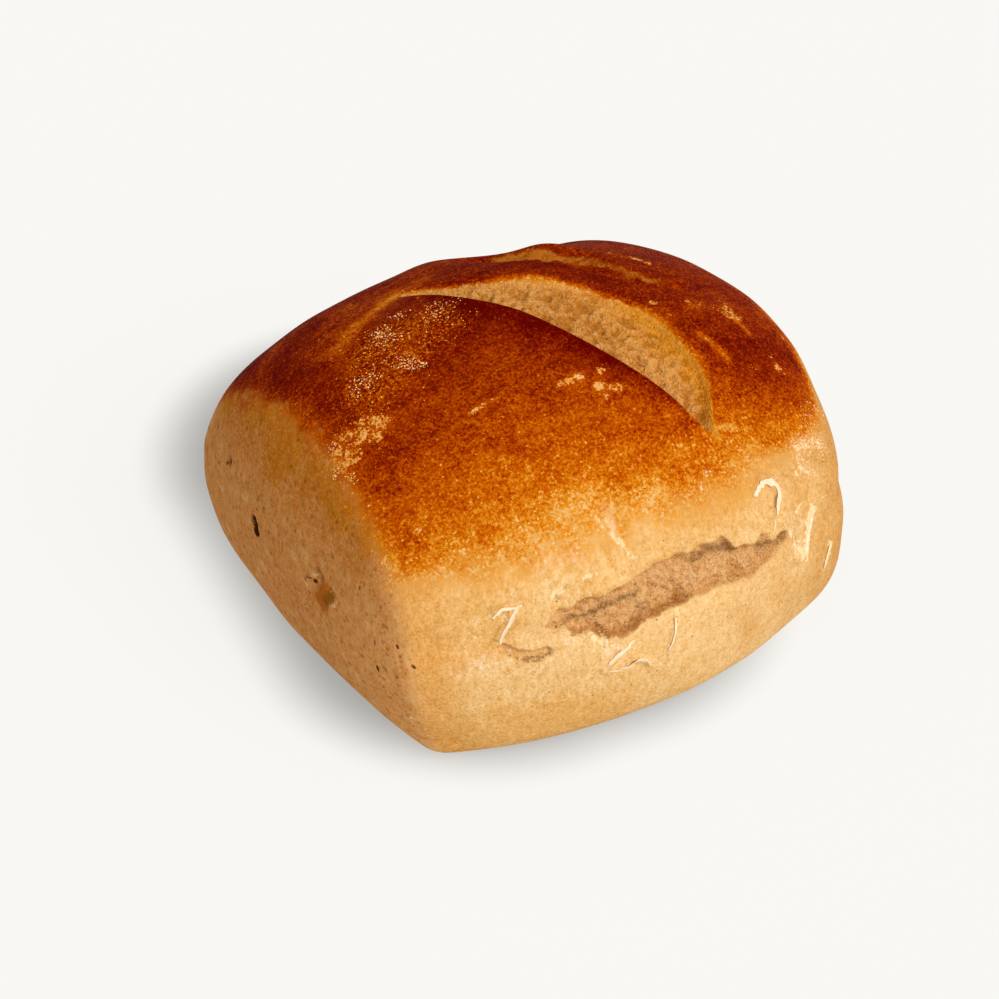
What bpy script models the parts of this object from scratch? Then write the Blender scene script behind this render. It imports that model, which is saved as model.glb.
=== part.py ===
"""A white bread roll that was baked touching other rolls.

It is one solid: a domed top with two open slashes, and four flat sides that stayed pale,
one of them torn. Sizes are in millimetres up to the last step, which makes metres.
+Z is up, and the origin is under the middle of the roll, on the surface it stands on.
"""

import bmesh
import bpy
import numpy as np

MM = 0.001

# Driving dimensions of the whole roll
HEIGHT = 59.7
HALF_SIZE = np.array([51.4, 44.5])
SIDE_MIDDLE = np.array([1.2, 5.2])
CROWN = np.array([-5.7, 4.9])
WAIST = 24.0

# Each side: its reach from the origin, how far its ends draw back, its outward lean towards
# the top, how far it draws back above and below the waist, and the dome's drop towards it
LEFT = dict(reach=51.2, bow=5.0, lean=1.2, belly=5.2, drop=16.0)
RIGHT = dict(reach=51.3, bow=11.5, lean=-1.1, belly=0.2, drop=13.6)
FRONT = dict(reach=44.4, bow=14.8, lean=-4.0, belly=6.2, drop=20.5)
BACK = dict(reach=44.6, bow=6.0, lean=-0.5, belly=1.6, drop=17.0)
LEAN_HEIGHT = 50.0

# Softness of the edges where faces meet: about 0.7 of the edge's smallest radius
LEFT_CREASE = 1.35
TOP_EDGE = 3.5
LEFT_FRONT_EDGE = 0.9
LEFT_BACK_EDGE = 1.4
RIGHT_EDGES = 2.4
BASE_EDGE = 3.0

# The base lifts a little towards the right side, and its middle is cut flat by this much
BASE_LIFT = 1.5
BASE_LIFT_FROM = 18.0
BASE_CUT = 0.3

# The slashes: their ends in plan, then how far each lip stands off the line between them. Each
# pair is the share of the way from start to end, and the offset, which is positive away from
# the front. After them, how deep the cut is under the near lip and how far that lip rises.
FIRST_SLASH = dict(
    start=(-16.0, 25.0),
    end=(15.4, -28.4),
    near=(
        (0.0, 0.0), (0.3, -1.0), (0.42, -0.5), (0.55, -0.65), (0.7, -0.7),
        (0.8, -0.5), (0.88, -0.6), (0.94, -1.0), (1.0, 0.0),
    ),
    far=(
        (0.0, 0.0), (0.04, 2.4), (0.14, 5.2), (0.3, 10.4), (0.46, 13.9),
        (0.6, 15.7), (0.71, 15.5), (0.8, 12.9), (0.92, 8.0), (1.0, 0.0),
    ),
    depth=5.0,
    lip=1.2,
)
SECOND_SLASH = dict(
    start=(1.0, 32.5),
    end=(36.5, 3.2),
    near=(
        (0.0, -1.5), (0.1, -4.2), (0.21, -5.8), (0.37, -6.2), (0.52, -7.0),
        (0.68, -7.9), (0.83, -7.2), (0.93, -5.4), (1.0, -3.3),
    ),
    far=(
        (0.0, 0.0), (0.12, 3.0), (0.27, 3.8), (0.42, 4.0), (0.52, 3.0),
        (0.6, 0.9), (0.7, -1.6), (0.82, -2.9), (0.93, -2.7), (1.0, -3.3),
    ),
    depth=3.4,
    lip=0.2,
)
LIP_REACH = 9.0
LIP_WALL = 1.9
SLASH_RUN_OUT = 3.5
FAR_LIP_STEP = 1.7
FAR_LIP_EASE = 2.6

# Swellings and hollows in the dough: the middle of each, its reach and its height
SWELLINGS = (
    ((16.0, 38.0, 48.5), 10.0, -2.8),
    ((-2.5, 34.0, 52.0), 5.5, 0.8),
    ((5.0, 24.0, 56.0), 4.0, -0.5),
    ((17.0, 26.5, 53.5), 4.5, 0.9),
    ((-47.5, 33.5, 38.0), 8.0, -1.1),
    ((-43.5, -31.0, 7.0), 7.0, -0.8),
    ((38.0, -36.0, 9.0), 7.0, 0.7),
)

# The tear in the front side: x and z of its two edges, left to right
TEAR_TOP = (
    (-25.6, 30.4), (-23.5, 33.0), (-14.0, 34.0), (-4.0, 35.8),
    (9.0, 35.2), (11.5, 32.2), (17.0, 31.4), (23.2, 29.4),
)
TEAR_BOTTOM = (
    (-25.6, 30.4), (-21.5, 28.2), (-14.0, 25.7), (-5.0, 27.0),
    (5.0, 27.4), (12.9, 25.6), (17.0, 27.0), (23.2, 29.4),
)
TEAR_DEPTH = 1.7
TEAR_WALL = 0.9
TEAR_RAGGED = 0.5

# The seam, a shallow fold that runs round the sides at the tear's height
SEAM_HEIGHT = 28.6
SEAM_DEPTH = 0.7
SEAM_WIDTH = 2.6

# Unevenness of the dough all over
LUMP_HEIGHT = 0.25

# Skin flakes on the front side: x and z of the corners of each, and its width
FLAKES = (
    (((-32.9, 34.6), (-29.6, 35.2), (-31.5, 32.5), (-33.6, 29.8)), 1.3),
    (((18.6, 37.7), (21.4, 38.6), (23.4, 37.2), (22.8, 34.8), (21.3, 33.4)), 1.2),
    (((-16.9, 19.8), (-15.0, 21.6), (-12.9, 23.6)), 1.2),
    (((-15.9, 19.2), (-11.6, 20.8), (-8.3, 18.6)), 1.2),
    (((-2.8, 25.4), (-4.0, 21.5), (-4.8, 17.5)), 1.1),
    (((25.2, 23.6), (28.4, 26.6), (31.4, 28.9)), 2.4),
    (((34.6, 20.4), (33.0, 15.4)), 1.8),
    (((-22.6, 35.3), (-20.2, 36.0)), 1.0),
)
FLAKE_HEIGHT = 0.45

# Holes in the left side: y and z of the corners of each, its radius and its depth. The last
# is a round blister, which stands out.
LEFT_PORES = (
    (((13.9, 28.8), (13.1, 26.9)), 0.9, 2.4),
    (((24.9, 34.2), (24.7, 33.6)), 0.8, 1.4),
    (((-6.4, 31.2), (-7.8, 30.2)), 0.8, 1.4),
    (((-9.6, 28.4), (-9.9, 27.8)), 2.2, -0.6),
)

# Marks in the front side, as x and z: the small hole under the seam and an upright crease
FRONT_MARKS = (
    (((-33.0, 27.6), (-31.2, 26.3), (-28.6, 25.6), (-26.2, 25.9)), 0.9, 1.3),
    (((-9.3, 45.0), (-10.2, 41.0), (-10.6, 36.8)), 2.8, 0.4),
)

# The sphere that is shaped to the roll, and the final count of triangles
SPHERE_SUBDIVISIONS = 8
TRIANGLES = 11600

CRUST_COLOUR = (0.62, 0.30, 0.09, 1.0)
CRUST_ROUGHNESS = 0.62


def ease(value, start, end):
    """0 up to start, 1 from end on, and a smooth S between them."""
    share = np.clip((value - start) / (end - start), 0.0, 1.0)
    return share * share * (3.0 - 2.0 * share)


def soft_max(values, softness):
    """The largest of several fields, with the edges where they cross rounded."""
    values = np.array(values)
    top = values.max(axis=0)
    return top + softness * np.log(np.exp((values - top) / softness).sum(axis=0))


def side_reach(side, along, half, height):
    bowed = side["reach"] - side["bow"] * (along / half) ** 2
    leaning = side["lean"] * (height / LEAN_HEIGHT - 0.5)
    return bowed + leaning - side["belly"] * ((height - WAIST) / WAIST) ** 2


def roll_field(points):
    """Negative inside the plain roll, 0 on its surface and positive outside."""
    x, y, z = points.T
    along_x = x - SIDE_MIDDLE[0]
    along_y = y - SIDE_MIDDLE[1]
    half_x, half_y = HALF_SIZE
    left = -x - side_reach(LEFT, along_y, half_y, z)
    right = x - side_reach(RIGHT, along_y, half_y, z)
    front = -y - side_reach(FRONT, along_x, half_x, z)
    back = y - side_reach(BACK, along_x, half_x, z)
    from_crown_x = (x - CROWN[0]) / half_x
    from_crown_y = (y - CROWN[1]) / half_y
    drop_x = np.where(from_crown_x < 0, LEFT["drop"], RIGHT["drop"]) * from_crown_x**2
    drop_y = np.where(from_crown_y < 0, FRONT["drop"], BACK["drop"]) * from_crown_y**2
    top = z - (HEIGHT - drop_x - drop_y)
    lift = BASE_LIFT * np.clip((x - BASE_LIFT_FROM) / (half_x - BASE_LIFT_FROM), 0.0, 1.2) ** 2
    base = lift - z - BASE_CUT
    to_right = ease(along_x, -35.0, 15.0)
    to_back = ease(along_y, -18.0, 18.0)
    left_edges = LEFT_FRONT_EDGE + (LEFT_BACK_EDGE - LEFT_FRONT_EDGE) * to_back
    sides = soft_max([left, right, front, back], left_edges + (RIGHT_EDGES - left_edges) * to_right)
    off_left = ease(np.maximum(np.maximum(front, back), right) - left, -8.0, 4.0)
    upper = soft_max([sides, top], LEFT_CREASE + (TOP_EDGE - LEFT_CREASE) * off_left)
    return soft_max([upper, base], BASE_EDGE)


def surface_points(directions):
    """The points where rays from the roll's middle leave the plain roll."""
    middle = np.array([*SIDE_MIDDLE, WAIST])
    inner = np.zeros(len(directions))
    outer = np.full(len(directions), 2.0 * HALF_SIZE[0])
    for _ in range(24):
        reach = 0.5 * (inner + outer)
        inside = roll_field(middle + directions * reach[:, None]) < 0
        inner = np.where(inside, reach, inner)
        outer = np.where(inside, outer, reach)
    return middle + directions * outer[:, None]


def surface_normals(points):
    """Outward unit normals of the plain roll."""
    step = 0.05
    slopes = [roll_field(points + step * axis) - roll_field(points - step * axis) for axis in np.eye(3)]
    normals = np.array(slopes).T
    return normals / np.linalg.norm(normals, axis=1, keepdims=True)


def waves(points, length, seed):
    """A smooth random field between about -1 and 1 whose bumps are about this long."""
    chance = np.random.default_rng(seed)
    total = np.zeros(len(points))
    count = 16
    for _ in range(count):
        direction = chance.normal(size=3)
        direction *= 2.0 * np.pi / length / np.linalg.norm(direction)
        total += np.sin(points @ direction + chance.uniform(0.0, 2.0 * np.pi))
    return total / np.sqrt(count)


def smooth_through(stops, share):
    """A smooth curve through pairs of share and value, read at each share."""
    places, values = np.array(stops).T
    slopes = np.gradient(values, places)
    piece = np.clip(np.searchsorted(places, share) - 1, 0, len(places) - 2)
    span = places[piece + 1] - places[piece]
    t = (share - places[piece]) / span
    from_start = (1.0 + 2.0 * t) * values[piece] + t * span * slopes[piece]
    from_end = (3.0 - 2.0 * t) * values[piece + 1] - (1.0 - t) * span * slopes[piece + 1]
    return (1.0 - t) ** 2 * from_start + t**2 * from_end


def slash_relief(points, slash):
    """Height that a slash adds to the crust: a sharp raised lip, a sunken floor and a soft far lip."""
    start = np.array(slash["start"])
    line = np.array(slash["end"]) - start
    length = np.linalg.norm(line)
    line /= length
    place = points[:, :2] - start
    along = place @ line / length
    share = np.clip(along, 0.0, 1.0)
    overrun = np.abs(along - share) * length
    near = smooth_through(slash["near"], share)
    width = np.maximum(smooth_through(slash["far"], share) - near, 0.1)
    across = place @ np.array([-line[1], line[0]]) - near
    open_here = ease(width, 0.0, 7.0) * ease(overrun, SLASH_RUN_OUT, 0.0)
    inside = np.clip(across / width, 0.0, 1.0)
    floor = -FAR_LIP_STEP - (slash["depth"] - FAR_LIP_STEP) * (1.0 - inside) ** 1.8
    floor *= 1.0 - ease(across - width, -0.5 * FAR_LIP_EASE, 0.5 * FAR_LIP_EASE)
    lip = slash["lip"] * np.exp(np.minimum(across, 0.0) / LIP_REACH)
    in_cut = ease(across, 0.0, LIP_WALL)
    return open_here * (lip * (1.0 - in_cut) + floor * in_cut) * ease(points[:, 2], 30.0, 36.0)


def tear_inset(points):
    """How far a point of the front side lies inside the tear's ragged outline, negative outside."""
    x = points[:, 0]
    z = points[:, 2]
    top_x, top_z = np.array(TEAR_TOP).T
    bottom_x, bottom_z = np.array(TEAR_BOTTOM).T
    from_top = np.interp(x, top_x, top_z) - z
    from_bottom = z - np.interp(x, bottom_x, bottom_z)
    inset = np.minimum(from_top, from_bottom)
    beyond = np.maximum(top_x[0] - x, x - top_x[-1])
    inset = np.minimum(inset, -beyond)
    inset += TEAR_RAGGED * waves(points, 4.5, seed=11)
    return np.where(points[:, 1] < -20.0, inset, -10.0)


def tear_relief(points):
    inset = tear_inset(points)
    return -TEAR_DEPTH * ease(inset, 0.0, TEAR_WALL) * (1.0 + 0.2 * waves(points, 5.0, seed=12))


def seam_relief(points, normals):
    """The fold round the sides: clear on the front's left, broken elsewhere, absent on the left side."""
    upright = 1.0 - ease(np.abs(normals[:, 2]), 0.35, 0.7)
    broken = ease(points[:, 0], 0.0, 26.0) + ease(points[:, 1], -38.0, -10.0)
    broken = np.minimum(broken, 1.0)
    height = SEAM_HEIGHT + (0.5 + 2.5 * broken) * waves(points, 60.0, seed=41)
    strength = 1.0 - broken * ease(waves(points, 38.0, seed=42), -0.9, 0.7)
    groove = np.exp(-(((points[:, 2] - height) / SEAM_WIDTH) ** 2))
    on_left = ease(-points[:, 0], 47.5, 49.5)
    return -SEAM_DEPTH * groove * upright * strength * (1.0 - on_left)


def lumps(points):
    """The unevenness of risen dough."""
    height = LUMP_HEIGHT * waves(points, 30.0, seed=21) + 0.35 * LUMP_HEIGHT * waves(points, 13.0, seed=22)
    for middle, reach, rise in SWELLINGS:
        distance = np.linalg.norm(points - np.array(middle), axis=1)
        height += rise * np.exp(-((distance / reach) ** 2))
    return height


def distance_to_line(points, line):
    """Distance from each point to a line through the given corners."""
    nearest = np.full(len(points), np.inf)
    for start, end in zip(line[:-1], line[1:]):
        start = np.array(start)
        along = np.array(end) - start
        share = np.clip((points - start) @ along / (along @ along), 0.0, 1.0)
        nearest = np.minimum(nearest, np.linalg.norm(points - start - share[:, None] * along, axis=1))
    return nearest


def flake_relief(points):
    """Thin curls of skin that lifted off the front side."""
    in_front = points[:, 1] < -20.0
    place = points[:, [0, 2]]
    height = np.zeros(len(points))
    for line, width in FLAKES:
        edge = width * (0.5 + 0.1 * waves(points, 3.0, seed=31))
        rise = FLAKE_HEIGHT * (1.0 - ease(distance_to_line(place, line), 0.6 * edge, 1.5 * edge))
        height = np.maximum(height, rise)
    return height * in_front


def sunk_marks(place, marks):
    """Holes and creases along lines, each with its radius and depth."""
    height = np.zeros(len(place))
    for line, radius, depth in marks:
        height -= depth * (1.0 - ease(distance_to_line(place, line), 0.4 * radius, 1.3 * radius))
    return height


def mark_relief(points):
    on_left = points[:, 0] < -40.0
    on_front = points[:, 1] < -20.0
    in_left = sunk_marks(points[:, [1, 2]], LEFT_PORES) * on_left
    return in_left + sunk_marks(points[:, [0, 2]], FRONT_MARKS) * on_front


def relief(points, normals):
    """Height of the crust over the plain roll, in millimetres."""
    slashes = slash_relief(points, FIRST_SLASH) + slash_relief(points, SECOND_SLASH)
    torn = tear_relief(points)
    skin = seam_relief(points, normals) + lumps(points) + flake_relief(points) + mark_relief(points)
    return (slashes + torn + skin) * ease(points[:, 2], 1.0, 6.0)


def roll_mesh():
    """A fine sphere moved out to the roll's surface and its relief, cut flat below and centred."""
    sphere = bmesh.new()
    bmesh.ops.create_icosphere(sphere, subdivisions=SPHERE_SUBDIVISIONS, radius=1.0)
    mesh = bpy.data.meshes.new("bread_roll")
    sphere.to_mesh(mesh)
    sphere.free()
    directions = np.empty(3 * len(mesh.vertices), dtype=np.float32)
    mesh.vertices.foreach_get("co", directions)
    directions = directions.reshape(-1, 3).astype(float)
    directions /= np.linalg.norm(directions, axis=1, keepdims=True)
    points = surface_points(directions)
    normals = surface_normals(points)
    points += normals * relief(points, normals)[:, None]
    points[:, 2] = np.maximum(points[:, 2], 0.0)
    points[:, :2] -= 0.5 * (points.min(axis=0) + points.max(axis=0))[:2]
    mesh.vertices.foreach_set("co", (points * MM).astype(np.float32).ravel())
    mesh.update()
    mesh.shade_smooth()
    return mesh


def crust_material():
    material = bpy.data.materials.new("baked_crust")
    material.use_nodes = True
    shader = material.node_tree.nodes["Principled BSDF"]
    shader.inputs["Base Color"].default_value = CRUST_COLOUR
    shader.inputs["Roughness"].default_value = CRUST_ROUGHNESS
    return material


def clear_scene():
    for item in list(bpy.data.objects):
        bpy.data.objects.remove(item, do_unlink=True)


def main():
    clear_scene()
    mesh = roll_mesh()
    mesh.materials.append(crust_material())
    roll = bpy.data.objects.new("bread_roll", mesh)
    collection = bpy.data.collections.new("bread_roll_parts")
    bpy.context.scene.collection.children.link(collection)
    collection.objects.link(roll)
    thinning = roll.modifiers.new("fewer_triangles", "DECIMATE")
    thinning.ratio = TRIANGLES / len(mesh.polygons)


main()
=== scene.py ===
"""Looks of the bread roll: its crust, crumb, skin curls and flour, on a pale floor in soft light.

The crust has the form of the CAD solid with finer relief on it. Lengths are in millimetres up to
the last step of each piece, which makes metres. +Z is up and the torn side faces -Y.
"""

from collections import namedtuple

import bmesh
import bpy
import numpy as np
from mathutils import Matrix, Vector
from mathutils.bvhtree import BVHTree


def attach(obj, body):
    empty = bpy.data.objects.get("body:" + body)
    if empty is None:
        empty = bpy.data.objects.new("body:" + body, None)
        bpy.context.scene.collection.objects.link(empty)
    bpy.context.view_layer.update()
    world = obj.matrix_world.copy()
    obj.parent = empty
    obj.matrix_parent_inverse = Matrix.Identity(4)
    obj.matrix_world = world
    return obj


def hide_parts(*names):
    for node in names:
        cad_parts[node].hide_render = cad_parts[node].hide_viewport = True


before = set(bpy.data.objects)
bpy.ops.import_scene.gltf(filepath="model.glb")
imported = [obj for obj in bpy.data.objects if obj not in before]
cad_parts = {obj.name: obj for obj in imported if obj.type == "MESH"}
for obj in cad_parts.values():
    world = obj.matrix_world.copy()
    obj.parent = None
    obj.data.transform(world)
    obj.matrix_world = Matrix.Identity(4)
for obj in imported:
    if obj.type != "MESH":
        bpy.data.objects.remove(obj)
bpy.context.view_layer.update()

MM = 0.001

# Driving dimensions of the whole roll
HEIGHT = 59.7
HALF_SIZE = np.array([51.4, 44.5])
SIDE_MIDDLE = np.array([1.2, 5.2])
CROWN = np.array([-5.7, 4.9])
WAIST = 24.0

# Each side: its reach from the origin, how far its ends draw back, its outward lean towards
# the top, how far it draws back above and below the waist, and the dome's drop towards it
LEFT = dict(reach=51.2, bow=5.0, lean=1.2, belly=5.2, drop=16.0)
RIGHT = dict(reach=51.3, bow=11.5, lean=-1.1, belly=0.2, drop=13.6)
FRONT = dict(reach=44.4, bow=14.8, lean=-4.0, belly=6.2, drop=20.5)
BACK = dict(reach=44.6, bow=6.0, lean=-0.5, belly=1.6, drop=17.0)
LEAN_HEIGHT = 50.0

# How often the span is halved in which a ray's way out of the roll is looked for
HALVINGS = 24

# Softness of the edges where faces meet: about 0.7 of the edge's smallest radius
LEFT_CREASE = 1.35
TOP_EDGE = 3.5
LEFT_FRONT_EDGE = 0.9
LEFT_BACK_EDGE = 1.4
RIGHT_EDGES = 2.4
BASE_EDGE = 3.0

# How far the base lifts at the right side, from which x on, and how much of it is cut off flat
BASE_LIFT = 1.5
BASE_LIFT_FROM = 18.0
BASE_CUT = 0.3

# The slashes: their ends in plan, then how far each lip stands off the line between them. Each
# pair is the share of the way from start to end, and the offset, which is positive away from
# the front. After them, how deep the cut is under the near lip and how far that lip rises.
FIRST_SLASH = dict(
    start=(-16.0, 25.0),
    end=(15.4, -28.4),
    near=(
        (0.0, 0.0), (0.3, -1.0), (0.42, -0.5), (0.55, -0.65), (0.7, -0.7),
        (0.8, -0.5), (0.88, -0.6), (0.94, -1.0), (1.0, 0.0),
    ),
    far=(
        (0.0, 0.0), (0.04, 2.4), (0.14, 5.2), (0.3, 10.4), (0.46, 13.9),
        (0.6, 15.7), (0.71, 15.5), (0.8, 12.9), (0.92, 8.0), (1.0, 0.0),
    ),
    depth=5.0,
    lip=1.2,
)
SECOND_SLASH = dict(
    start=(1.0, 32.5),
    end=(36.5, 3.2),
    near=(
        (0.0, -1.5), (0.1, -4.2), (0.21, -5.8), (0.37, -6.2), (0.52, -7.0),
        (0.68, -7.9), (0.83, -7.2), (0.93, -5.4), (1.0, -3.3),
    ),
    far=(
        (0.0, 0.0), (0.12, 3.0), (0.27, 3.8), (0.42, 4.0), (0.52, 3.0),
        (0.6, 0.9), (0.7, -1.6), (0.82, -2.9), (0.93, -2.7), (1.0, -3.3),
    ),
    depth=3.4,
    lip=0.2,
)

# Both slashes: how far the near lip's rise reaches, how wide the wall under it is, how far the
# cut runs out past its ends, and how deep and how wide the step down at the far lip is
LIP_REACH = 9.0
LIP_WALL = 1.9
SLASH_RUN_OUT = 3.5
FAR_LIP_STEP = 1.7
FAR_LIP_EASE = 2.6

# Swellings and hollows in the dough: the middle of each, its reach and its height
SWELLINGS = (
    ((16.0, 38.0, 48.5), 10.0, -2.8),
    ((-2.5, 34.0, 52.0), 5.5, 0.8),
    ((5.0, 24.0, 56.0), 4.0, -0.5),
    ((17.0, 26.5, 53.5), 4.5, 0.9),
    ((-47.5, 33.5, 38.0), 8.0, -1.1),
    ((-43.5, -31.0, 7.0), 7.0, -0.8),
    ((38.0, -36.0, 9.0), 7.0, 0.7),
)

# The tear in the front side: x and z of its two edges, left to right
TEAR_TOP = (
    (-25.6, 30.4), (-23.5, 33.0), (-14.0, 34.0), (-4.0, 35.8),
    (9.0, 35.2), (11.5, 32.2), (17.0, 31.4), (23.2, 29.4),
)
TEAR_BOTTOM = (
    (-25.6, 30.4), (-21.5, 28.2), (-14.0, 25.7), (-5.0, 27.0),
    (5.0, 27.4), (12.9, 25.6), (17.0, 27.0), (23.2, 29.4),
)

# The tear's depth, how wide the slope at its edge is, and how ragged that edge is
TEAR_DEPTH = 1.7
TEAR_WALL = 0.9
TEAR_RAGGED = 0.5

# The seam, a shallow fold that runs round the sides at the tear's height
SEAM_HEIGHT = 28.6
SEAM_DEPTH = 0.7
SEAM_WIDTH = 2.6

# Unevenness of the dough all over
LUMP_HEIGHT = 0.25

# Detail of the front side lies where y is under the first, of the left side where x is under the other
FRONT_FROM = -20.0
LEFT_FROM = -38.0

# Skin flakes on the front side: x and z of the corners of each, and its width
FLAKES = (
    (((-32.9, 34.6), (-29.6, 35.2), (-31.5, 32.5), (-33.6, 29.8)), 1.3),
    (((18.6, 37.7), (21.4, 38.6), (23.4, 37.2), (22.8, 34.8), (21.3, 33.4)), 1.2),
    (((-16.9, 19.8), (-15.0, 21.6), (-12.9, 23.6)), 1.2),
    (((-15.9, 19.2), (-11.6, 20.8), (-8.3, 18.6)), 1.2),
    (((-2.8, 25.4), (-4.0, 21.5), (-4.8, 17.5)), 1.1),
    (((25.2, 23.6), (28.4, 26.6), (31.4, 28.9)), 2.4),
    (((34.6, 20.4), (33.0, 15.4)), 1.8),
    (((-22.6, 35.3), (-20.2, 36.0)), 1.0),
)
FLAKE_HEIGHT = 0.45

# Holes in the left side: y and z of the corners of each, its radius and its depth. The last
# is a round blister, which stands out.
LEFT_PORES = (
    (((13.9, 28.8), (13.1, 26.9)), 0.9, 2.4),
    (((24.9, 34.2), (24.7, 33.6)), 0.8, 1.4),
    (((-6.4, 31.2), (-7.8, 30.2)), 0.8, 1.4),
    (((-9.6, 28.4), (-9.9, 27.8)), 2.2, -0.6),
)

# Marks in the front side, as x and z: the small hole under the seam and an upright crease
FRONT_MARKS = (
    (((-33.0, 27.6), (-31.2, 26.3), (-28.6, 25.6), (-26.2, 25.9)), 0.9, 1.3),
    (((-9.3, 45.0), (-10.2, 41.0), (-10.6, 36.8)), 2.8, 0.4),
)


def ease(value, start, end):
    """0 up to start, 1 from end on, and a smooth S between them."""
    share = np.clip((value - start) / (end - start), 0.0, 1.0)
    return share * share * (3.0 - 2.0 * share)


def bell(away):
    """1 at 0, falling off to both sides."""
    return np.exp(-(away**2))


def read_off(stops, places):
    """Values read off between stops, each a place and a value."""
    known_places, values = np.array(stops).T
    return np.interp(places, known_places, values)


def unit_rows(rows):
    return rows / np.linalg.norm(rows, axis=1, keepdims=True)


def distance_to(points, middle):
    return np.linalg.norm(points - np.array(middle), axis=1)


def on_front(points):
    return points[:, 1] < FRONT_FROM


def on_left(points):
    return points[:, 0] < LEFT_FROM


def front_view(points):
    return points[:, [0, 2]]


def left_view(points):
    return points[:, [1, 2]]


def soft_max(values, softness):
    """The largest of several fields, with the edges where they cross rounded."""
    values = np.array(values)
    top = values.max(axis=0)
    return top + softness * np.log(np.exp((values - top) / softness).sum(axis=0))


def side_reach(side, along, half, height):
    bowed = side["reach"] - side["bow"] * (along / half) ** 2
    leaning = side["lean"] * (height / LEAN_HEIGHT - 0.5)
    return bowed + leaning - side["belly"] * ((height - WAIST) / WAIST) ** 2


def roll_field(points):
    """Negative inside the plain roll, 0 on its surface and positive outside."""
    x, y, z = points.T
    along_x = x - SIDE_MIDDLE[0]
    along_y = y - SIDE_MIDDLE[1]
    half_x, half_y = HALF_SIZE
    left = -x - side_reach(LEFT, along_y, half_y, z)
    right = x - side_reach(RIGHT, along_y, half_y, z)
    front = -y - side_reach(FRONT, along_x, half_x, z)
    back = y - side_reach(BACK, along_x, half_x, z)
    from_crown_x = (x - CROWN[0]) / half_x
    from_crown_y = (y - CROWN[1]) / half_y
    drop_x = np.where(from_crown_x < 0, LEFT["drop"], RIGHT["drop"]) * from_crown_x**2
    drop_y = np.where(from_crown_y < 0, FRONT["drop"], BACK["drop"]) * from_crown_y**2
    top = z - (HEIGHT - drop_x - drop_y)
    lift = BASE_LIFT * np.clip((x - BASE_LIFT_FROM) / (half_x - BASE_LIFT_FROM), 0.0, 1.2) ** 2
    base = lift - z - BASE_CUT
    to_right = ease(along_x, -35.0, 15.0)
    to_back = ease(along_y, -18.0, 18.0)
    left_edges = LEFT_FRONT_EDGE + (LEFT_BACK_EDGE - LEFT_FRONT_EDGE) * to_back
    sides = soft_max([left, right, front, back], left_edges + (RIGHT_EDGES - left_edges) * to_right)
    off_left = ease(np.maximum(np.maximum(front, back), right) - left, -8.0, 4.0)
    upper = soft_max([sides, top], LEFT_CREASE + (TOP_EDGE - LEFT_CREASE) * off_left)
    return soft_max([upper, base], BASE_EDGE)


def surface_points(directions):
    """The points where rays from the roll's middle leave the plain roll."""
    middle = np.array([*SIDE_MIDDLE, WAIST])
    inner = np.zeros(len(directions))
    outer = np.full(len(directions), 2.0 * HALF_SIZE[0])
    for _ in range(HALVINGS):
        reach = 0.5 * (inner + outer)
        inside = roll_field(middle + directions * reach[:, None]) < 0
        inner = np.where(inside, reach, inner)
        outer = np.where(inside, outer, reach)
    return middle + directions * outer[:, None]


def surface_normals(points):
    """Outward unit normals of the plain roll."""
    step = 0.05
    slopes = [roll_field(points + step * axis) - roll_field(points - step * axis) for axis in np.eye(3)]
    return unit_rows(np.array(slopes).T)


def waves(points, length, seed):
    """A smooth random field around 0, mostly between -1.4 and 1.4, with bumps about this long."""
    chance = np.random.default_rng(seed)
    total = np.zeros(len(points))
    count = 16
    for _ in range(count):
        direction = chance.normal(size=3)
        direction *= 2.0 * np.pi / length / np.linalg.norm(direction)
        total += np.sin(points @ direction + chance.uniform(0.0, 2.0 * np.pi))
    return total / np.sqrt(count)


def smooth_through(stops, share):
    """A smooth curve through pairs of share and value, read at each share."""
    places, values = np.array(stops).T
    slopes = np.gradient(values, places)
    piece = np.clip(np.searchsorted(places, share) - 1, 0, len(places) - 2)
    span = places[piece + 1] - places[piece]
    t = (share - places[piece]) / span
    from_start = (1.0 + 2.0 * t) * values[piece] + t * span * slopes[piece]
    from_end = (3.0 - 2.0 * t) * values[piece + 1] - (1.0 - t) * span * slopes[piece + 1]
    return (1.0 - t) ** 2 * from_start + t**2 * from_end


Cut = namedtuple("Cut", "across width along beyond")


def cut_place(points, slash):
    """Where points lie by a slash: mm across it from its near lip, its width there in mm, the
    share along it, and how many mm past its ends, which is negative between them."""
    start = np.array(slash["start"])
    line = np.array(slash["end"]) - start
    length = np.linalg.norm(line)
    line /= length
    place = points[:, :2] - start
    along = place @ line / length
    share = np.clip(along, 0.0, 1.0)
    near = smooth_through(slash["near"], share)
    width = np.maximum(smooth_through(slash["far"], share) - near, 0.1)
    across = place @ np.array([-line[1], line[0]]) - near
    return Cut(across, width, along, np.maximum(-along, along - 1.0) * length)


def slash_relief(points, slash):
    """Height that a slash adds to the crust: a sharp raised lip, a sunken floor and a soft far lip."""
    cut = cut_place(points, slash)
    open_here = ease(cut.width, 0.0, 7.0) * ease(cut.beyond, SLASH_RUN_OUT, 0.0)
    inside = np.clip(cut.across / cut.width, 0.0, 1.0)
    floor = -FAR_LIP_STEP - (slash["depth"] - FAR_LIP_STEP) * (1.0 - inside) ** 1.8
    floor *= 1.0 - ease(cut.across - cut.width, -0.5 * FAR_LIP_EASE, 0.5 * FAR_LIP_EASE)
    lip = slash["lip"] * np.exp(np.minimum(cut.across, 0.0) / LIP_REACH)
    in_cut = ease(cut.across, 0.0, LIP_WALL)
    return open_here * (lip * (1.0 - in_cut) + floor * in_cut) * ease(points[:, 2], 30.0, 36.0)


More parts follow.
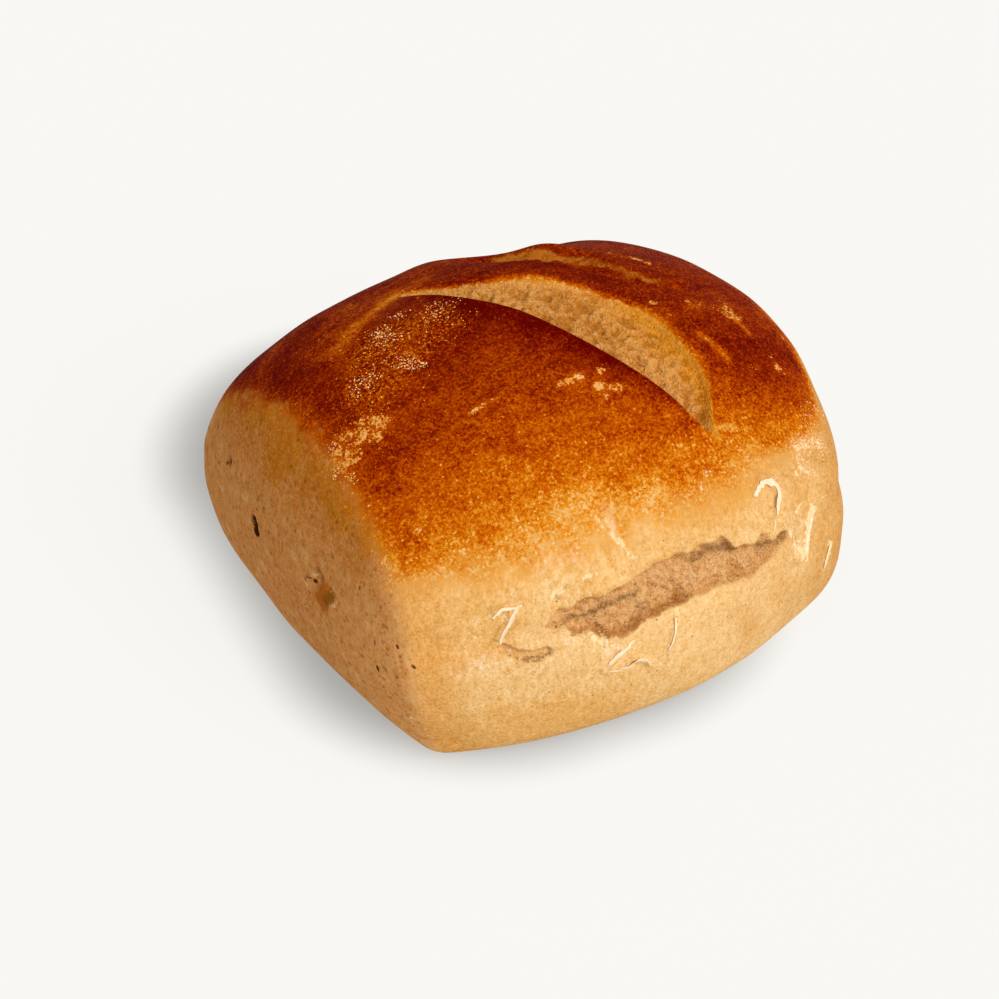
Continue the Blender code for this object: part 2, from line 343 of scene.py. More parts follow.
def tear_inset(points):
    """How far a point of the front side lies inside the tear's ragged outline, negative outside."""
    x, _, z = points.T
    inset = np.minimum(read_off(TEAR_TOP, x) - z, z - read_off(TEAR_BOTTOM, x))
    beyond = np.maximum(TEAR_TOP[0][0] - x, x - TEAR_TOP[-1][0])
    inset = np.minimum(inset, -beyond) + TEAR_RAGGED * waves(points, 4.5, seed=11)
    return np.where(on_front(points), inset, -10.0)


def tear_relief(points):
    inset = tear_inset(points)
    return -TEAR_DEPTH * ease(inset, 0.0, TEAR_WALL) * (1.0 + 0.2 * waves(points, 5.0, seed=12))


def seam_relief(points, normals):
    """The fold round the sides: clear on the front's left, broken elsewhere, absent on the left side."""
    upright = 1.0 - ease(np.abs(normals[:, 2]), 0.35, 0.7)
    broken = np.minimum(ease(points[:, 0], 0.0, 26.0) + ease(points[:, 1], -38.0, -10.0), 1.0)
    height = SEAM_HEIGHT + (0.5 + 2.5 * broken) * waves(points, 60.0, seed=41)
    strength = 1.0 - broken * ease(waves(points, 38.0, seed=42), -0.9, 0.7)
    groove = bell((points[:, 2] - height) / SEAM_WIDTH)
    off_left = 1.0 - ease(-points[:, 0], 47.5, 49.5)
    return -SEAM_DEPTH * groove * upright * strength * off_left


def lumps(points):
    """The unevenness of risen dough."""
    height = LUMP_HEIGHT * (waves(points, 30.0, seed=21) + 0.35 * waves(points, 13.0, seed=22))
    for middle, reach, rise in SWELLINGS:
        height += rise * bell(distance_to(points, middle) / reach)
    return height


def distance_to_line(points, line):
    """Distance from each point to a line through the given corners."""
    nearest = np.full(len(points), np.inf)
    for start, end in zip(line[:-1], line[1:]):
        start = np.array(start)
        along = np.array(end) - start
        share = np.clip((points - start) @ along / (along @ along), 0.0, 1.0)
        nearest = np.minimum(nearest, np.linalg.norm(points - start - share[:, None] * along, axis=1))
    return nearest


def flake_relief(points):
    """Thin curls of skin that lifted off the front side."""
    height = np.zeros(len(points))
    ragged = 0.5 + 0.1 * waves(points, 3.0, seed=31)
    for line, width in FLAKES:
        edge = width * ragged
        away = distance_to_line(front_view(points), line)
        height = np.maximum(height, FLAKE_HEIGHT * (1.0 - ease(away, 0.6 * edge, 1.5 * edge)))
    return height * on_front(points)


def sunk_marks(place, marks):
    """Holes and creases along lines, each with its radius and depth."""
    height = np.zeros(len(place))
    for line, radius, depth in marks:
        height -= depth * (1.0 - ease(distance_to_line(place, line), 0.4 * radius, 1.3 * radius))
    return height


def mark_relief(points):
    in_left = sunk_marks(left_view(points), LEFT_PORES) * on_left(points)
    return in_left + sunk_marks(front_view(points), FRONT_MARKS) * on_front(points)


def relief(points, normals):
    """Height of the crust over the plain roll, in millimetres."""
    slashes = slash_relief(points, FIRST_SLASH) + slash_relief(points, SECOND_SLASH)
    torn = tear_relief(points)
    skin = seam_relief(points, normals) + lumps(points) + flake_relief(points) + mark_relief(points)
    return (slashes + torn + skin) * ease(points[:, 2], 1.0, 6.0)


# How often the sphere that the crust's mesh starts from is divided, before it is refined locally
SPHERE_SUBDIVISIONS = 7


def cut_inset(points, slash):
    """How far a point lies inside a slash's lips, negative outside them."""
    cut = cut_place(points, slash)
    inset = np.minimum(np.minimum(cut.across, cut.width - cut.across), -cut.beyond)
    return np.where(points[:, 2] > 33.0, inset, -50.0)


def near_scuffs(points, margin):
    """Where the small scuffs of the top and its white streak are, with this margin in mm."""
    away = [distance_to(points, middle) - max(reach) for middle, reach, _ in SCUFFS[BROAD_SCUFFS:]]
    away.append(distance_to_line(points[:, :2], WHITE_STREAK) + 20.0 * (points[:, 2] < 45.0))
    return np.min(away, axis=0) < margin


def near_left_holes(points, margin):
    """Where the small holes and the blister of the left side are, with this margin in mm."""
    away = [distance_to_line(left_view(points), line) for line, _, _ in LEFT_HOLES + BLISTER]
    return on_left(points) & (np.min(away, axis=0) < margin)


def near_detail(points):
    """Where the mesh is refined once: the front side, the left side's holes and round the slashes."""
    front = (points[:, 1] < -24.0) & (points[:, 2] > 16.0) & (points[:, 2] < 42.0)
    torn = front & (tear_inset(points) > -9.0)
    inset = np.maximum(cut_inset(points, FIRST_SLASH), cut_inset(points, SECOND_SLASH))
    return torn | (inset > -3.0) | near_left_holes(points, 3.0) | near_scuffs(points, 1.5)


def near_fine_detail(points):
    """Where it is refined once more: the tear, the flakes, the small holes and the first lip."""
    marked = tear_inset(points) > -1.2
    for line, reach in [*FLAKES, FRONT_MARKS[0][:2]]:
        marked |= on_front(points) & (distance_to_line(front_view(points), line) < reach + 0.6)
    across = cut_place(points, FIRST_SLASH).across
    lip = (np.abs(across - 0.8) < 1.2) & (cut_inset(points, FIRST_SLASH) > -2.0)
    return marked | lip | near_left_holes(points, 1.5) | near_scuffs(points, 0.5)


def crust_sphere():
    """A sphere's mesh whose points lie closer together where the roll has detail."""
    sphere = bmesh.new()
    bmesh.ops.create_icosphere(sphere, subdivisions=SPHERE_SUBDIVISIONS, radius=1.0)
    for wanted in (near_detail, near_fine_detail):
        sphere.verts.index_update()
        directions = np.array([point.co[:] for point in sphere.verts])
        chosen = wanted(surface_points(unit_rows(directions)))
        edges = [e for e in sphere.edges if chosen[e.verts[0].index] and chosen[e.verts[1].index]]
        bmesh.ops.subdivide_edges(sphere, edges=edges, cuts=1, use_grid_fill=True)
    bmesh.ops.triangulate(sphere, faces=sphere.faces[:])
    mesh = bpy.data.meshes.new("crust")
    sphere.to_mesh(mesh)
    sphere.free()
    return mesh


def tear_height(points):
    """Place between the tear's lower edge, 0, and its upper edge, 1."""
    x, _, z = points.T
    bottom = read_off(TEAR_BOTTOM, x)
    return np.clip((z - bottom) / np.maximum(read_off(TEAR_TOP, x) - bottom, 0.5), 0.0, 1.0)


def crumb_relief(points):
    """Torn, stringy crumb in the tear, and folds and pits in the slashes."""
    torn = ease(tear_inset(points), 0.1, 1.0)
    strands = 1.0 - np.abs(waves(points * [1.5, 1.0, 0.8], 3.0, seed=61))
    clots = waves(points, 1.4, seed=62)
    holes = ease(waves(points, 1.1, seed=65), 1.2, 2.0)
    up = tear_height(points)
    middle = 4.0 * up * (1.0 - up)
    height = torn * (0.35 * strands + 0.2 * clots - 0.4 * holes + 0.5 * middle - 0.1)
    for slash, depth, seed in ((FIRST_SLASH, 1.0, 63), (SECOND_SLASH, 0.6, 64)):
        inside = ease(cut_inset(points, slash), 0.3, 1.6)
        folds = 1.0 - 1.7 * np.abs(waves(points * [1.0, 0.7, 1.0], 4.2, seed=seed))
        clumps = waves(points, 1.9, seed=seed + 10)
        pits = ease(waves(points, 1.3, seed=seed + 20), 1.0, 1.9)
        fine = waves(points, 0.9, seed=seed + 30)
        height += depth * inside * (0.32 * folds + 0.24 * clumps + 0.1 * fine - 0.55 * pits)
    return height


def crust_mesh():
    """The roll's crust: the CAD form with finer relief, and the values its material reads."""
    mesh = crust_sphere()
    directions = np.empty(3 * len(mesh.vertices), dtype=np.float32)
    mesh.vertices.foreach_get("co", directions)
    points = surface_points(unit_rows(directions.reshape(-1, 3).astype(float)))
    normals = surface_normals(points)
    crumb = crumb_relief(points)
    height = relief(points, normals) + crumb
    fields = material_fields(points, normals)
    # The crumb's depth, which the material turns into painted shade in its hollows
    fields["cavity_shade"] = np.clip(0.5 - crumb, 0.0, 1.0)
    points += normals * height[:, None]
    points[:, 2] = np.maximum(points[:, 2], 0.0)
    points[:, :2] -= 0.5 * (points.min(axis=0) + points.max(axis=0))[:2]
    mesh.vertices.foreach_set("co", (points * MM).astype(np.float32).ravel())
    for name, values in fields.items():
        layer = mesh.attributes.new(name, "FLOAT", "POINT")
        layer.data.foreach_set("value", values.astype(np.float32))
    mesh.update()
    mesh.shade_smooth()
    return mesh


# How brown the crust is, 0 pale to 1 darkest, by the depth in mm inside the front's plane, inside
# the right side's plane and past the slash's far lip
BROWNING = (
    (0.8, 0.0), (2.4, 0.06), (4.6, 0.18), (5.8, 0.26), (7.0, 0.35), (8.2, 0.41), (9.5, 0.47),
    (13.0, 0.57), (15.5, 0.65), (19.0, 0.71), (24.0, 0.76), (30.0, 0.80), (60.0, 0.80),
)
RIGHT_BROWNING = (
    (0.4, 0.0), (1.6, 0.16), (3.0, 0.42), (5.0, 0.68), (7.5, 0.82), (14.0, 0.92), (90.0, 1.0),
)
FAR_LIP_BROWNING = ((-0.3, 0.2), (0.6, 0.36), (1.8, 0.58), (3.2, 0.74), (5.0, 0.86), (7.0, 1.0))

# Darker crust by each slash's near lip: how much, between which shares along the slash it sets in
# and ends, and how far past the lip it goes. It fades over the reach away from the slash.
DARK_LIP_REACH = 4.0
DARK_LIPS = (
    (FIRST_SLASH, 0.33, (0.0, 0.3), (1.02, 0.82), 3.0),
    (SECOND_SLASH, 0.08, (0.0, 0.2), (1.05, 0.85), 2.0),
)

# Darker and lighter blotches of the top: the middle of each in plan, its reach and its change
BLOTCHES = (
    ((-30.0, 30.0), 11.0, 0.13),
    ((-44.0, 28.0), 8.0, 0.10),
    ((-34.0, 19.0), 7.0, 0.06),
    ((34.0, -19.0), 9.0, 0.22),
    ((44.0, -16.0), 6.0, 0.16),
    ((27.0, -12.0), 7.0, 0.08),
    ((-6.0, -29.0), 6.0, 0.08),
    ((12.0, 18.0), 6.0, 0.06),
)


def side_depth(points, side):
    """How far in mm a point lies inside the plane of the front, the right or the left side."""
    x, y, z = points.T
    if side is FRONT:
        return y + side_reach(FRONT, x - SIDE_MIDDLE[0], HALF_SIZE[0], z)
    reach = side_reach(side, y - SIDE_MIDDLE[1], HALF_SIZE[1], z)
    return reach - x if side is RIGHT else reach + x


def browning(points):
    """How brown the crust is, from 0 on the pale sides to 1 by the slashes."""
    x, _, z = points.T
    uneven = waves(points, 22.0, seed=71)
    ragged = 0.5 * uneven + 0.5 * waves(points, 7.0, seed=72)
    from_front = side_depth(points, FRONT) + ragged + 0.09 * np.maximum(-20.0 - x, 0.0)
    from_front += 1.5 * ease(x, -37.0, -43.0) + 0.6 * ease(x, 18.0, 32.0)
    level = read_off(BROWNING, from_front)
    level = np.minimum(level, read_off(RIGHT_BROWNING, side_depth(points, RIGHT) + ragged))
    for middle, reach, change in BLOTCHES:
        level += change * bell(distance_to(points[:, :2], middle) / reach) * (level > 0.1)
    from_left = side_depth(points, LEFT) + 0.5 * waves(points, 9.0, seed=73)
    level *= 0.74 + 0.26 * ease(from_left, 0.5, 5.0)
    level *= ease(z + 0.8 * uneven, 34.0, 41.0)
    for slash, change, start, end, past_lip in DARK_LIPS:
        cut = cut_place(points, slash)
        beside = ease(cut.along, *start) * ease(cut.along, *end) * (cut.across < past_lip)
        level += change * np.exp(np.minimum(cut.across, 0.0) / DARK_LIP_REACH) * beside
    cut = cut_place(points, FIRST_SLASH)
    past = (cut.across - cut.width + 0.5 * uneven) * (1.0 + 2.2 * ease(cut.along, 0.9, 0.6))
    at_far_lip = ease(cut.along, -0.05, 0.1) * ease(cut.along, 1.12, 1.0) * (cut.across > 2.0)
    level = np.minimum(level, 1.0 - at_far_lip * (1.0 - read_off(FAR_LIP_BROWNING, past)))
    return np.clip(level, 0.0, 1.0)


# Flour lies on the crust in clumps: the middle of each, its spread in mm and its grains. The pale
# flour of the top comes first, then the golden dust round it and the white flour of the right end.
# This many grains cover the middle of a clump fully.
FULL_COVER = 200.0
TOP_FLOUR = (
    ((-24.5, 12.7, 57.4), 1.4, 90),
    ((-24.2, 15.2, 57.1), 0.9, 40),
    ((-19.3, 16.9, 57.7), 0.9, 30),
    ((-25.6, 5.4, 57.6), 1.1, 60),
    ((-25.4, 3.5, 57.5), 0.7, 40),
    ((-23.6, 2.2, 57.9), 0.5, 24),
    ((-33.3, 6.2, 55.3), 1.3, 60),
    ((-30.7, 6.2, 56.2), 1.1, 30),
    ((-15.9, 11.9, 59.4), 1.8, 44),
    ((-12.7, 12.5, 59.9), 1.6, 44),
    ((-43.3, -0.3, 50.5), 0.6, 20),
    ((-44.8, -4.6, 48.4), 0.6, 24),
    ((-43.7, -7.3, 48.7), 0.7, 24),
)
GOLDEN_FLOUR = (
    ((-13.6, 7.6, 60.0), 2.0, 30),
    ((-20.0, 8.7, 58.8), 3.4, 90),
    ((-15.0, 11.5, 59.6), 2.8, 50),
    ((-28.5, 9.5, 57.0), 3.2, 90),
    ((-25.0, 14.0, 57.3), 2.6, 40),
    ((-36.0, 3.0, 54.3), 2.8, 60),
    ((-30.0, 4.0, 56.0), 3.2, 50),
)
SIDE_FLOUR = (
    ((31.6, -30.9, 38.4), 1.1, 110),
    ((33.4, -30.6, 37.8), 1.1, 120),
    ((36.8, -29.8, 36.6), 1.2, 100),
    ((38.2, -30.1, 35.2), 1.0, 70),
    ((30.6, -33.8, 36.2), 1.0, 90),
    ((31.6, -34.3, 35.1), 0.8, 60),
    ((42.0, -24.4, 37.2), 1.4, 44),
    ((38.6, -26.0, 38.8), 1.8, 40),
)


def gathered(points, clumps):
    """How thickly clumps of flour cover each point, up to about 1 in their middles."""
    cover = np.zeros(len(points))
    for middle, spread, count in clumps:
        cover += count / FULL_COVER * np.exp(-0.5 * (distance_to(points, middle) / (1.3 * spread)) ** 2)
    return np.clip(cover, 0.0, 1.0)


# Places where the brown crust is scuffed pale: the middle of each, its reach in x and y and how
# pale it is. The first three make one broad scuff on the left shoulder.
BROAD_SCUFFS = 3
SCUFF_REACH_UP = 4.0
SCUFFS = (
    ((-36.8, -3.0, 53.0), (3.6, 2.8), 0.95),
    ((-40.2, -2.6, 51.6), (3.0, 3.6), 1.05),
    ((-42.9, -3.6, 50.1), (2.0, 3.0), 1.1),
    ((-2.4, -13.6, 56.8), (1.1, 1.0), 1.4),
    ((-5.2, -13.6, 56.6), (2.1, 0.6), 1.2),
    ((-0.4, -16.2, 55.7), (1.0, 0.8), 1.3),
    ((2.2, -17.3, 55.2), (1.4, 0.7), 1.3),
    ((1.7, -13.9, 56.7), (0.9, 0.7), 1.2),
    ((-0.2, -18.2, 54.8), (0.8, 0.6), 1.2),
    ((-19.5, -10.8, 56.2), (3.2, 0.45), 1.0),
    ((35.3, -4.5, 50.4), (2.4, 2.4), 0.9),
    ((29.6, -2.7, 53.0), (1.9, 1.5), 0.85),
    ((21.5, -1.5, 55.5), (0.8, 0.5), 0.85),
    ((22.3, -5.2, 54.6), (0.8, 0.5), 0.8),
    ((37.8, -16.9, 44.7), (0.9, 2.2), 0.75),
    ((32.2, -17.5, 46.7), (1.6, 0.7), 0.6),
    ((44.6, -9.0, 43.6), (0.8, 2.2), 0.7),
    ((-39.5, -21.2, 45.4), (0.8, 0.8), 0.8),
)

# Golden streaks of the top in plan, each a line, its width and its strength, and one white streak
STREAKS = (
    (((-14.8, 25.0), (-20.4, 23.0), (-26.0, 20.4), (-31.3, 17.0)), 1.3, 0.34),
    (((-8.0, 26.4), (-13.5, 25.4), (-18.0, 24.8)), 1.2, 0.2),
    (((-22.0, 29.0), (-27.0, 25.5), (-33.0, 22.0)), 2.8, 0.22),
    (((-29.7, 33.3), (-34.3, 32.5), (-40.8, 27.4)), 1.6, 0.16),
    (((25.1, -10.4), (26.6, -12.8), (27.4, -15.6)), 0.6, 0.4),
    (((35.5, -7.6), (36.1, -10.4)), 0.5, 0.4),
    (((16.5, -26.9), (18.6, -27.0), (20.8, -27.0)), 0.4, 0.3),
)
WHITE_STREAK = ((26.5, 18.3), (28.2, 16.4), (29.6, 14.6), (30.6, 12.4))


def scuffed(points):
    """How pale the crust is where it is scuffed."""
    pale = np.zeros(len(points))
    for middle, reach, strength in SCUFFS:
        away = (points - np.array(middle)) / np.array([*reach, SCUFF_REACH_UP])
        pale = np.maximum(pale, strength * np.exp(-0.5 * (away**2).sum(axis=1) ** 1.5))
    broken = 0.75 + 0.35 * waves(points, 2.4, seed=77)
    white = 1.5 * bell(distance_to_line(points[:, :2], WHITE_STREAK) / 0.7) * (points[:, 2] > 45.0)
    return np.maximum(pale, white * broken)


def streaked(points):
    """How much less brown the crust is along golden streaks of the top."""
    lighter = np.zeros(len(points))
    for line, width, strength in STREAKS:
        lighter += strength * np.exp(-0.5 * (distance_to_line(points[:, :2], line) / width) ** 2)
    return lighter * (points[:, 2] > 38.0)


def lined(places, lines):
    """How strongly thin marks show at places in a plane: each a line, its half width and strength."""
    marks = [strength * bell(distance_to_line(places, line) / width) for line, width, strength in lines]
    return np.max(marks, axis=0)


def spotted(points, spots):
    """1 within the given radius of each spot, easing to 0 past it."""
    near = [ease(distance_to(points, middle), 1.3 * radius, 0.6 * radius) for middle, radius in spots]
    return np.max(near, axis=0)


# Thin marks, each a line, its half width and its strength. Painted shade in holes comes first: that of
# the left side's holes by y and z, then that of the front's by x and z.
LEFT_HOLES = (
    (((14.0, 28.6), (13.7, 27.8), (13.2, 26.4)), 0.9, 2.0),
    (((-6.4, 28.9), (-5.7, 28.5)), 0.55, 1.2),
    (((-3.3, 27.8), (-4.9, 28.6)), 0.35, 0.9),
    (((-8.2, 31.0), (-7.4, 31.6)), 0.4, 0.7),
    (((25.3, 33.4), (25.6, 32.6)), 0.6, 0.8),
    (((29.2, 27.0), (29.2, 26.5)), 0.5, 0.7),
    (((-23.0, 27.3), (-23.2, 26.5)), 0.4, 0.9),
    (((-28.0, 29.2), (-28.2, 28.9)), 0.35, 1.1),
    (((-23.5, 22.0), (-23.8, 21.1)), 0.4, 1.1),
    (((-25.8, 23.2), (-25.9, 22.7)), 0.3, 0.9),
    (((-30.8, 26.4), (-31.1, 26.0)), 0.35, 1.0),
    (((-17.2, 27.0), (-17.3, 26.5)), 0.3, 0.7),
    (((-22.2, 30.8), (-22.2, 30.5)), 0.3, 0.8),
    (((-19.1, 24.2), (-19.2, 23.8)), 0.3, 0.7),
)
FRONT_HOLES = (
    (((-32.8, 27.2), (-32.4, 26.4), (-31.6, 25.9), (-30.9, 25.3), (-30.2, 25.1)), 0.3, 0.8),
    (((-30.0, 24.9), (-29.0, 24.8), (-28.0, 24.7), (-27.2, 24.7)), 0.6, 1.0),
    (((-27.4, 25.2), (-26.3, 25.1), (-25.6, 25.3)), 0.3, 0.8),
)

# The blister of the left side by y and z: its golden skin, its dark side and its pale rim
BLISTER = ((((-9.9, 28.6), (-8.2, 25.8)), 2.5, 1.2),)
BLISTER_SHADE = ((((-11.2, 29.2), (-10.2, 27.0)), 1.5, 1.0),)
BLISTER_RIM = (
    (((-11.6, 31.0), (-12.3, 28.4), (-10.6, 26.4)), 0.5, 1.0),
    (((-6.4, 30.2), (-4.6, 28.9)), 0.7, 0.8),
)

# Grey crumb in the first slash: the middle of each spot and its radius
GREY_SPOTS = (
    ((2.6, 5.7, 56.8), 1.7),
    ((4.3, 3.4, 56.4), 1.4),
    ((6.0, 1.1, 55.7), 1.2),
    ((10.9, -9.4, 52.9), 0.6),
    ((13.6, -10.0, 52.9), 0.6),
    ((16.2, -17.2, 49.8), 1.0),
)

# Painted shade in the tear along dark lines, mostly under its upper edge, by x and z
TEAR_SHADE = (
    (((2.6, 33.4), (6.1, 33.6), (9.6, 33.2), (11.2, 32.0)), 1.2, 1.0),
    (((16.6, 29.8), (19.6, 29.4), (22.0, 29.4)), 1.1, 1.0),
    (((-24.0, 29.6), (-20.0, 30.8), (-14.0, 31.6), (-9.0, 31.8)), 0.9, 0.9),
    (((-9.4, 29.2), (-7.4, 28.4)), 0.6, 0.8),
    (((12.0, 31.0), (16.0, 30.2)), 0.5, 0.6),
)

# Torn flakes and pale smears of the front, by x and z
FRONT_FLAKES = (
    (((-12.2, 43.4), (-9.6, 40.0), (-8.6, 37.4)), 0.6, 0.8),
    (((-24.0, 35.2), (-23.1, 35.6), (-21.9, 35.8)), 0.45, 1.0),
    (((-18.4, 36.5), (-17.0, 36.8), (-15.6, 36.9)), 0.4, 1.0),
    (((7.9, 41.4), (9.8, 42.6), (11.4, 43.1)), 0.4, 0.7),
    (((-18.4, 27.0), (-17.2, 25.6)), 0.5, 1.0),
    (((-16.8, 26.4), (-15.4, 24.4)), 0.45, 1.0),
    (((-15.4, 25.2), (-14.2, 23.6)), 0.4, 0.9),
    (((29.8, 29.9), (28.6, 28.0), (27.4, 26.0), (26.2, 23.4)), 0.9, 1.2),
    (((28.8, 27.6), (27.6, 24.0), (27.2, 21.6)), 0.5, 0.9),
    (((23.4, 29.6), (24.3, 27.4), (25.4, 24.4)), 1.0, 0.8),
    (((27.5, 32.1), (26.3, 31.7), (25.1, 31.1)), 0.35, 0.9),
    (((34.2, 21.1), (33.6, 19.4), (32.8, 16.6)), 0.6, 1.0),
    (((33.5, 30.3), (32.5, 29.7)), 0.35, 0.9),
    (((-2.6, 26.6), (-3.0, 24.4)), 0.7, 0.8),
    (((31.0, 38.8), (32.2, 37.4)), 0.5, 1.0),
    (((33.0, 38.2), (34.6, 37.0)), 0.5, 1.0),
    (((35.6, 37.2), (38.0, 35.4)), 0.5, 0.9),
    (((30.0, 36.6), (30.8, 35.4), (31.8, 34.6)), 0.45, 1.0),
    (((28.6, 36.8), (28.9, 35.6)), 0.35, 0.8),
    (((-31.9, 33.4), (-32.6, 31.6)), 0.6, 0.5),
    (((-40.8, 30.2), (-36.4, 30.6)), 0.5, 0.6),
)

# Smears on the front where the skin is whiter, the first a painted highlight along the upright
# crease, then where it is more orange: x and z of each smear's middle, its reach and its strength
WHITER_SKIN_AND_HIGHLIGHT = (
    # A painted highlight along the upright crease
    ((-9.8, 42.0), (0.8, 2.4), 0.7),
    ((-36.0, 25.5), (5.0, 1.5), 0.6),
    ((-30.0, 23.0), (3.0, 1.2), 0.5),
    ((-19.5, 34.5), (2.5, 0.8), 0.7),
    ((-23.0, 27.5), (3.5, 1.0), 0.6),
    ((-15.5, 24.0), (2.2, 0.8), 0.8),
    ((25.0, 27.0), (2.2, 3.4), 0.8),
    ((-26.5, 39.5), (6.0, 2.0), 0.35),
    ((-21.0, 39.0), (6.0, 1.6), 0.5),
)
ORANGER = (
    ((-12.2, 38.5), (0.8, 2.6), 1.0),
    ((-18.0, 33.5), (8.0, 2.6), 0.7),
    ((-26.0, 8.0), (18.0, 8.0), 1.2),
    ((-36.0, 33.0), (8.0, 7.0), 1.0),
    ((16.0, 16.0), (12.0, 6.0), 0.3),
    ((-3.0, 35.5), (7.0, 3.0), 0.8),
    ((9.0, 39.5), (7.0, 4.5), 1.0),
    ((19.0, 37.0), (5.0, 6.0), 0.5),
    ((29.0, 34.0), (4.0, 6.0), 0.6),
    ((-16.6, 32.9), (2.2, 0.8), 1.0),
    ((-18.2, 35.8), (3.0, 0.5), 0.9),
    ((-31.2, 32.6), (1.6, 1.6), 0.4),
    ((22.0, 41.0), (5.0, 2.0), 0.35),
    ((-38.0, 14.0), (5.0, 4.0), 0.3),
    ((31.5, 15.0), (1.8, 2.6), 0.6),
    ((38.5, 30.0), (2.0, 7.0), 0.45),
)


def smeared(points, smears):
    """How strongly smears of the front's skin show."""
    amount = np.zeros(len(points))
    for middle, reach, strength in smears:
        away = (front_view(points) - np.array(middle)) / np.array(reach)
        amount = np.maximum(amount, strength * np.exp(-0.5 * (away**2).sum(axis=1)))
    return amount * on_front(points)


# How far past the first slash's far lip the bare crumb reaches, by the share along it
FAR_CRUMB_REACH = ((0.3, 0.0), (0.5, 0.1), (0.75, 0.0), (0.88, 0.6), (1.0, 1.2))


def across_slash(points):
    """Place across the first slash, 0 by the near lip and 1 by the far lip."""
    cut = cut_place(points, FIRST_SLASH)
    return np.clip(cut.across / cut.width * (0.6 + 0.4 * ease(cut.along, 0.4, 0.75)), 0.0, 1.0)


def bare_crumb(points):
    """How far in mm a point lies inside the bare crumb of the first slash."""
    cut = cut_place(points, FIRST_SLASH)
    past_far_lip = cut.across - cut.width - read_off(FAR_CRUMB_REACH, cut.along)
    inset = np.minimum(cut.across - 0.8, -past_far_lip)
    inset = np.where(cut_inset(points, FIRST_SLASH) > -2.5, inset, -5.0)
    return inset + 0.25 * waves(points, 2.5, seed=83)


# The upright edge where the left side ends: its height and its y
LEFT_EDGE = (
    (0.0, -29.0), (15.5, -30.8), (21.9, -31.2), (27.1, -30.3),
    (33.8, -27.4), (40.8, -23.1), (44.0, -20.0),
)


def past_left_edge(points):
    """How far in mm a point lies past the left side's front edge, towards the front."""
    return read_off(LEFT_EDGE, points[:, 2]) - points[:, 1] + 0.3 * waves(points, 4.0, seed=79)


def left_skin(points, to_left):
    """Where the brown crust has ended on the left side, below and outside its rim."""
    depth = side_depth(points, LEFT) + 0.4 * waves(points, 4.0, seed=76)
    return ease(depth, 3.8, -1.4) * ease(to_left, 0.3, 0.5)


# Where the golden band lies past the second slash's far lip, by the share along the slash
GOLDEN_BAND = ((0.3, -1.0), (0.39, -1.5), (0.47, -1.8), (0.59, -0.2), (0.67, 0.1), (0.8, 0.0))


def near_far_lip(points):
    """The narrow golden band along the far lip of the second slash."""
    cut = cut_place(points, SECOND_SLASH)
    past = cut.across - cut.width - read_off(GOLDEN_BAND, cut.along) + 0.2 * waves(points, 3.0, seed=80)
    reach = 2.3 - 1.4 * ease(cut.along, 0.42, 0.6)
    strength = ease(cut.along, 0.1, 0.2) * (1.0 - 0.3 * ease(cut.along, 0.4, 0.55))
    strength *= ease(cut.along, 0.9, 0.78) * (points[:, 2] > 45.0)
    return ease(np.abs(past), reach, 0.3 * reach) * strength


def left_fields(points, normals):
    """What the material reads on the left side and its front corner."""
    x, y, z = points.T
    to_left = -normals[:, 0] + 0.06 * waves(points, 6.0, seed=74)
    past_edge = past_left_edge(points)
    fields = {
        "left_side": left_skin(points, to_left),
        "left_end": ease(past_edge, 2.8, -1.4),
        "left_top": ease(z + 1.5 * waves(points, 9.0, seed=75), 31.0, 47.0),
        "left_front": ease(y, 0.0, -31.0) * ease(z, 46.0, 26.0),
        "corner": ease(past_edge, -0.6, 1.0) * ease(past_edge, 5.6, 2.2) * (x < -34.0),
    }
    for name, lines in (
        ("hole", LEFT_HOLES),
        ("blister", BLISTER),
        ("blister_shade", BLISTER_SHADE),
        ("blister_rim", BLISTER_RIM),
    ):
        fields[name] = lined(left_view(points), lines) * on_left(points)
    return fields


def front_fields(points):
    """What the material reads on the front side."""
    x = points[:, 0]
    fields = {
        "tear": ease(tear_inset(points), -0.8, 0.9) * (0.55 + 0.45 * ease(x, -24.0, -16.0)),
        # Painted shade low in the tear, towards its lower edge
        "tear_low_shade": ease(tear_height(points), 0.35, 0.0) * (0.3 + 0.7 * ease(x, 6.0, -3.0)),
        "whiter_and_highlight": smeared(points, WHITER_SKIN_AND_HIGHLIGHT),
        "oranger": smeared(points, ORANGER),
    }
    # The tear's dark lines and the front's small holes carry painted shade; the flakes are pale skin
    for name, lines in (("tear_shade", TEAR_SHADE), ("front_hole_shade", FRONT_HOLES), ("flake", FRONT_FLAKES)):
        fields[name] = lined(front_view(points), lines) * on_front(points)
    return fields


def material_fields(points, normals):
    """The values between 0 and about 1 that the crust's material reads, by name."""
    return {
        **left_fields(points, normals),
        **front_fields(points),
        "browning": np.clip(browning(points) - streaked(points), 0.0, 1.0),
        "slash": ease(bare_crumb(points), -1.0, 1.2),
        "slash_share": across_slash(points),
        "baked": near_far_lip(points),
        "right_side": ease(normals[:, 0] + 0.08 * waves(points, 8.0, seed=78), 0.0, 0.6),
        "scuff": scuffed(points),
        "grey": spotted(points, GREY_SPOTS),
        "flour": gathered(points, TOP_FLOUR),
        "golden": np.clip(3.0 * gathered(points, GOLDEN_FLOUR), 0.0, 1.0),
        "white_flour": gathered(points, SIDE_FLOUR),
    }


class Number:
    """A node's output that can be added, subtracted and multiplied, with a node for each step."""

    def __init__(self, shades, socket):
        self.shades = shades
        self.socket = socket

    def __add__(self, other):
        return self.shades.math("ADD", self, other)

    def __sub__(self, other):
        return self.shades.math("SUBTRACT", self, other)

    def __rsub__(self, other):
        return self.shades.math("SUBTRACT", other, self)

    def __mul__(self, other):
        return self.shades.math("MULTIPLY", self, other)

    __radd__ = __add__
    __rmul__ = __mul__


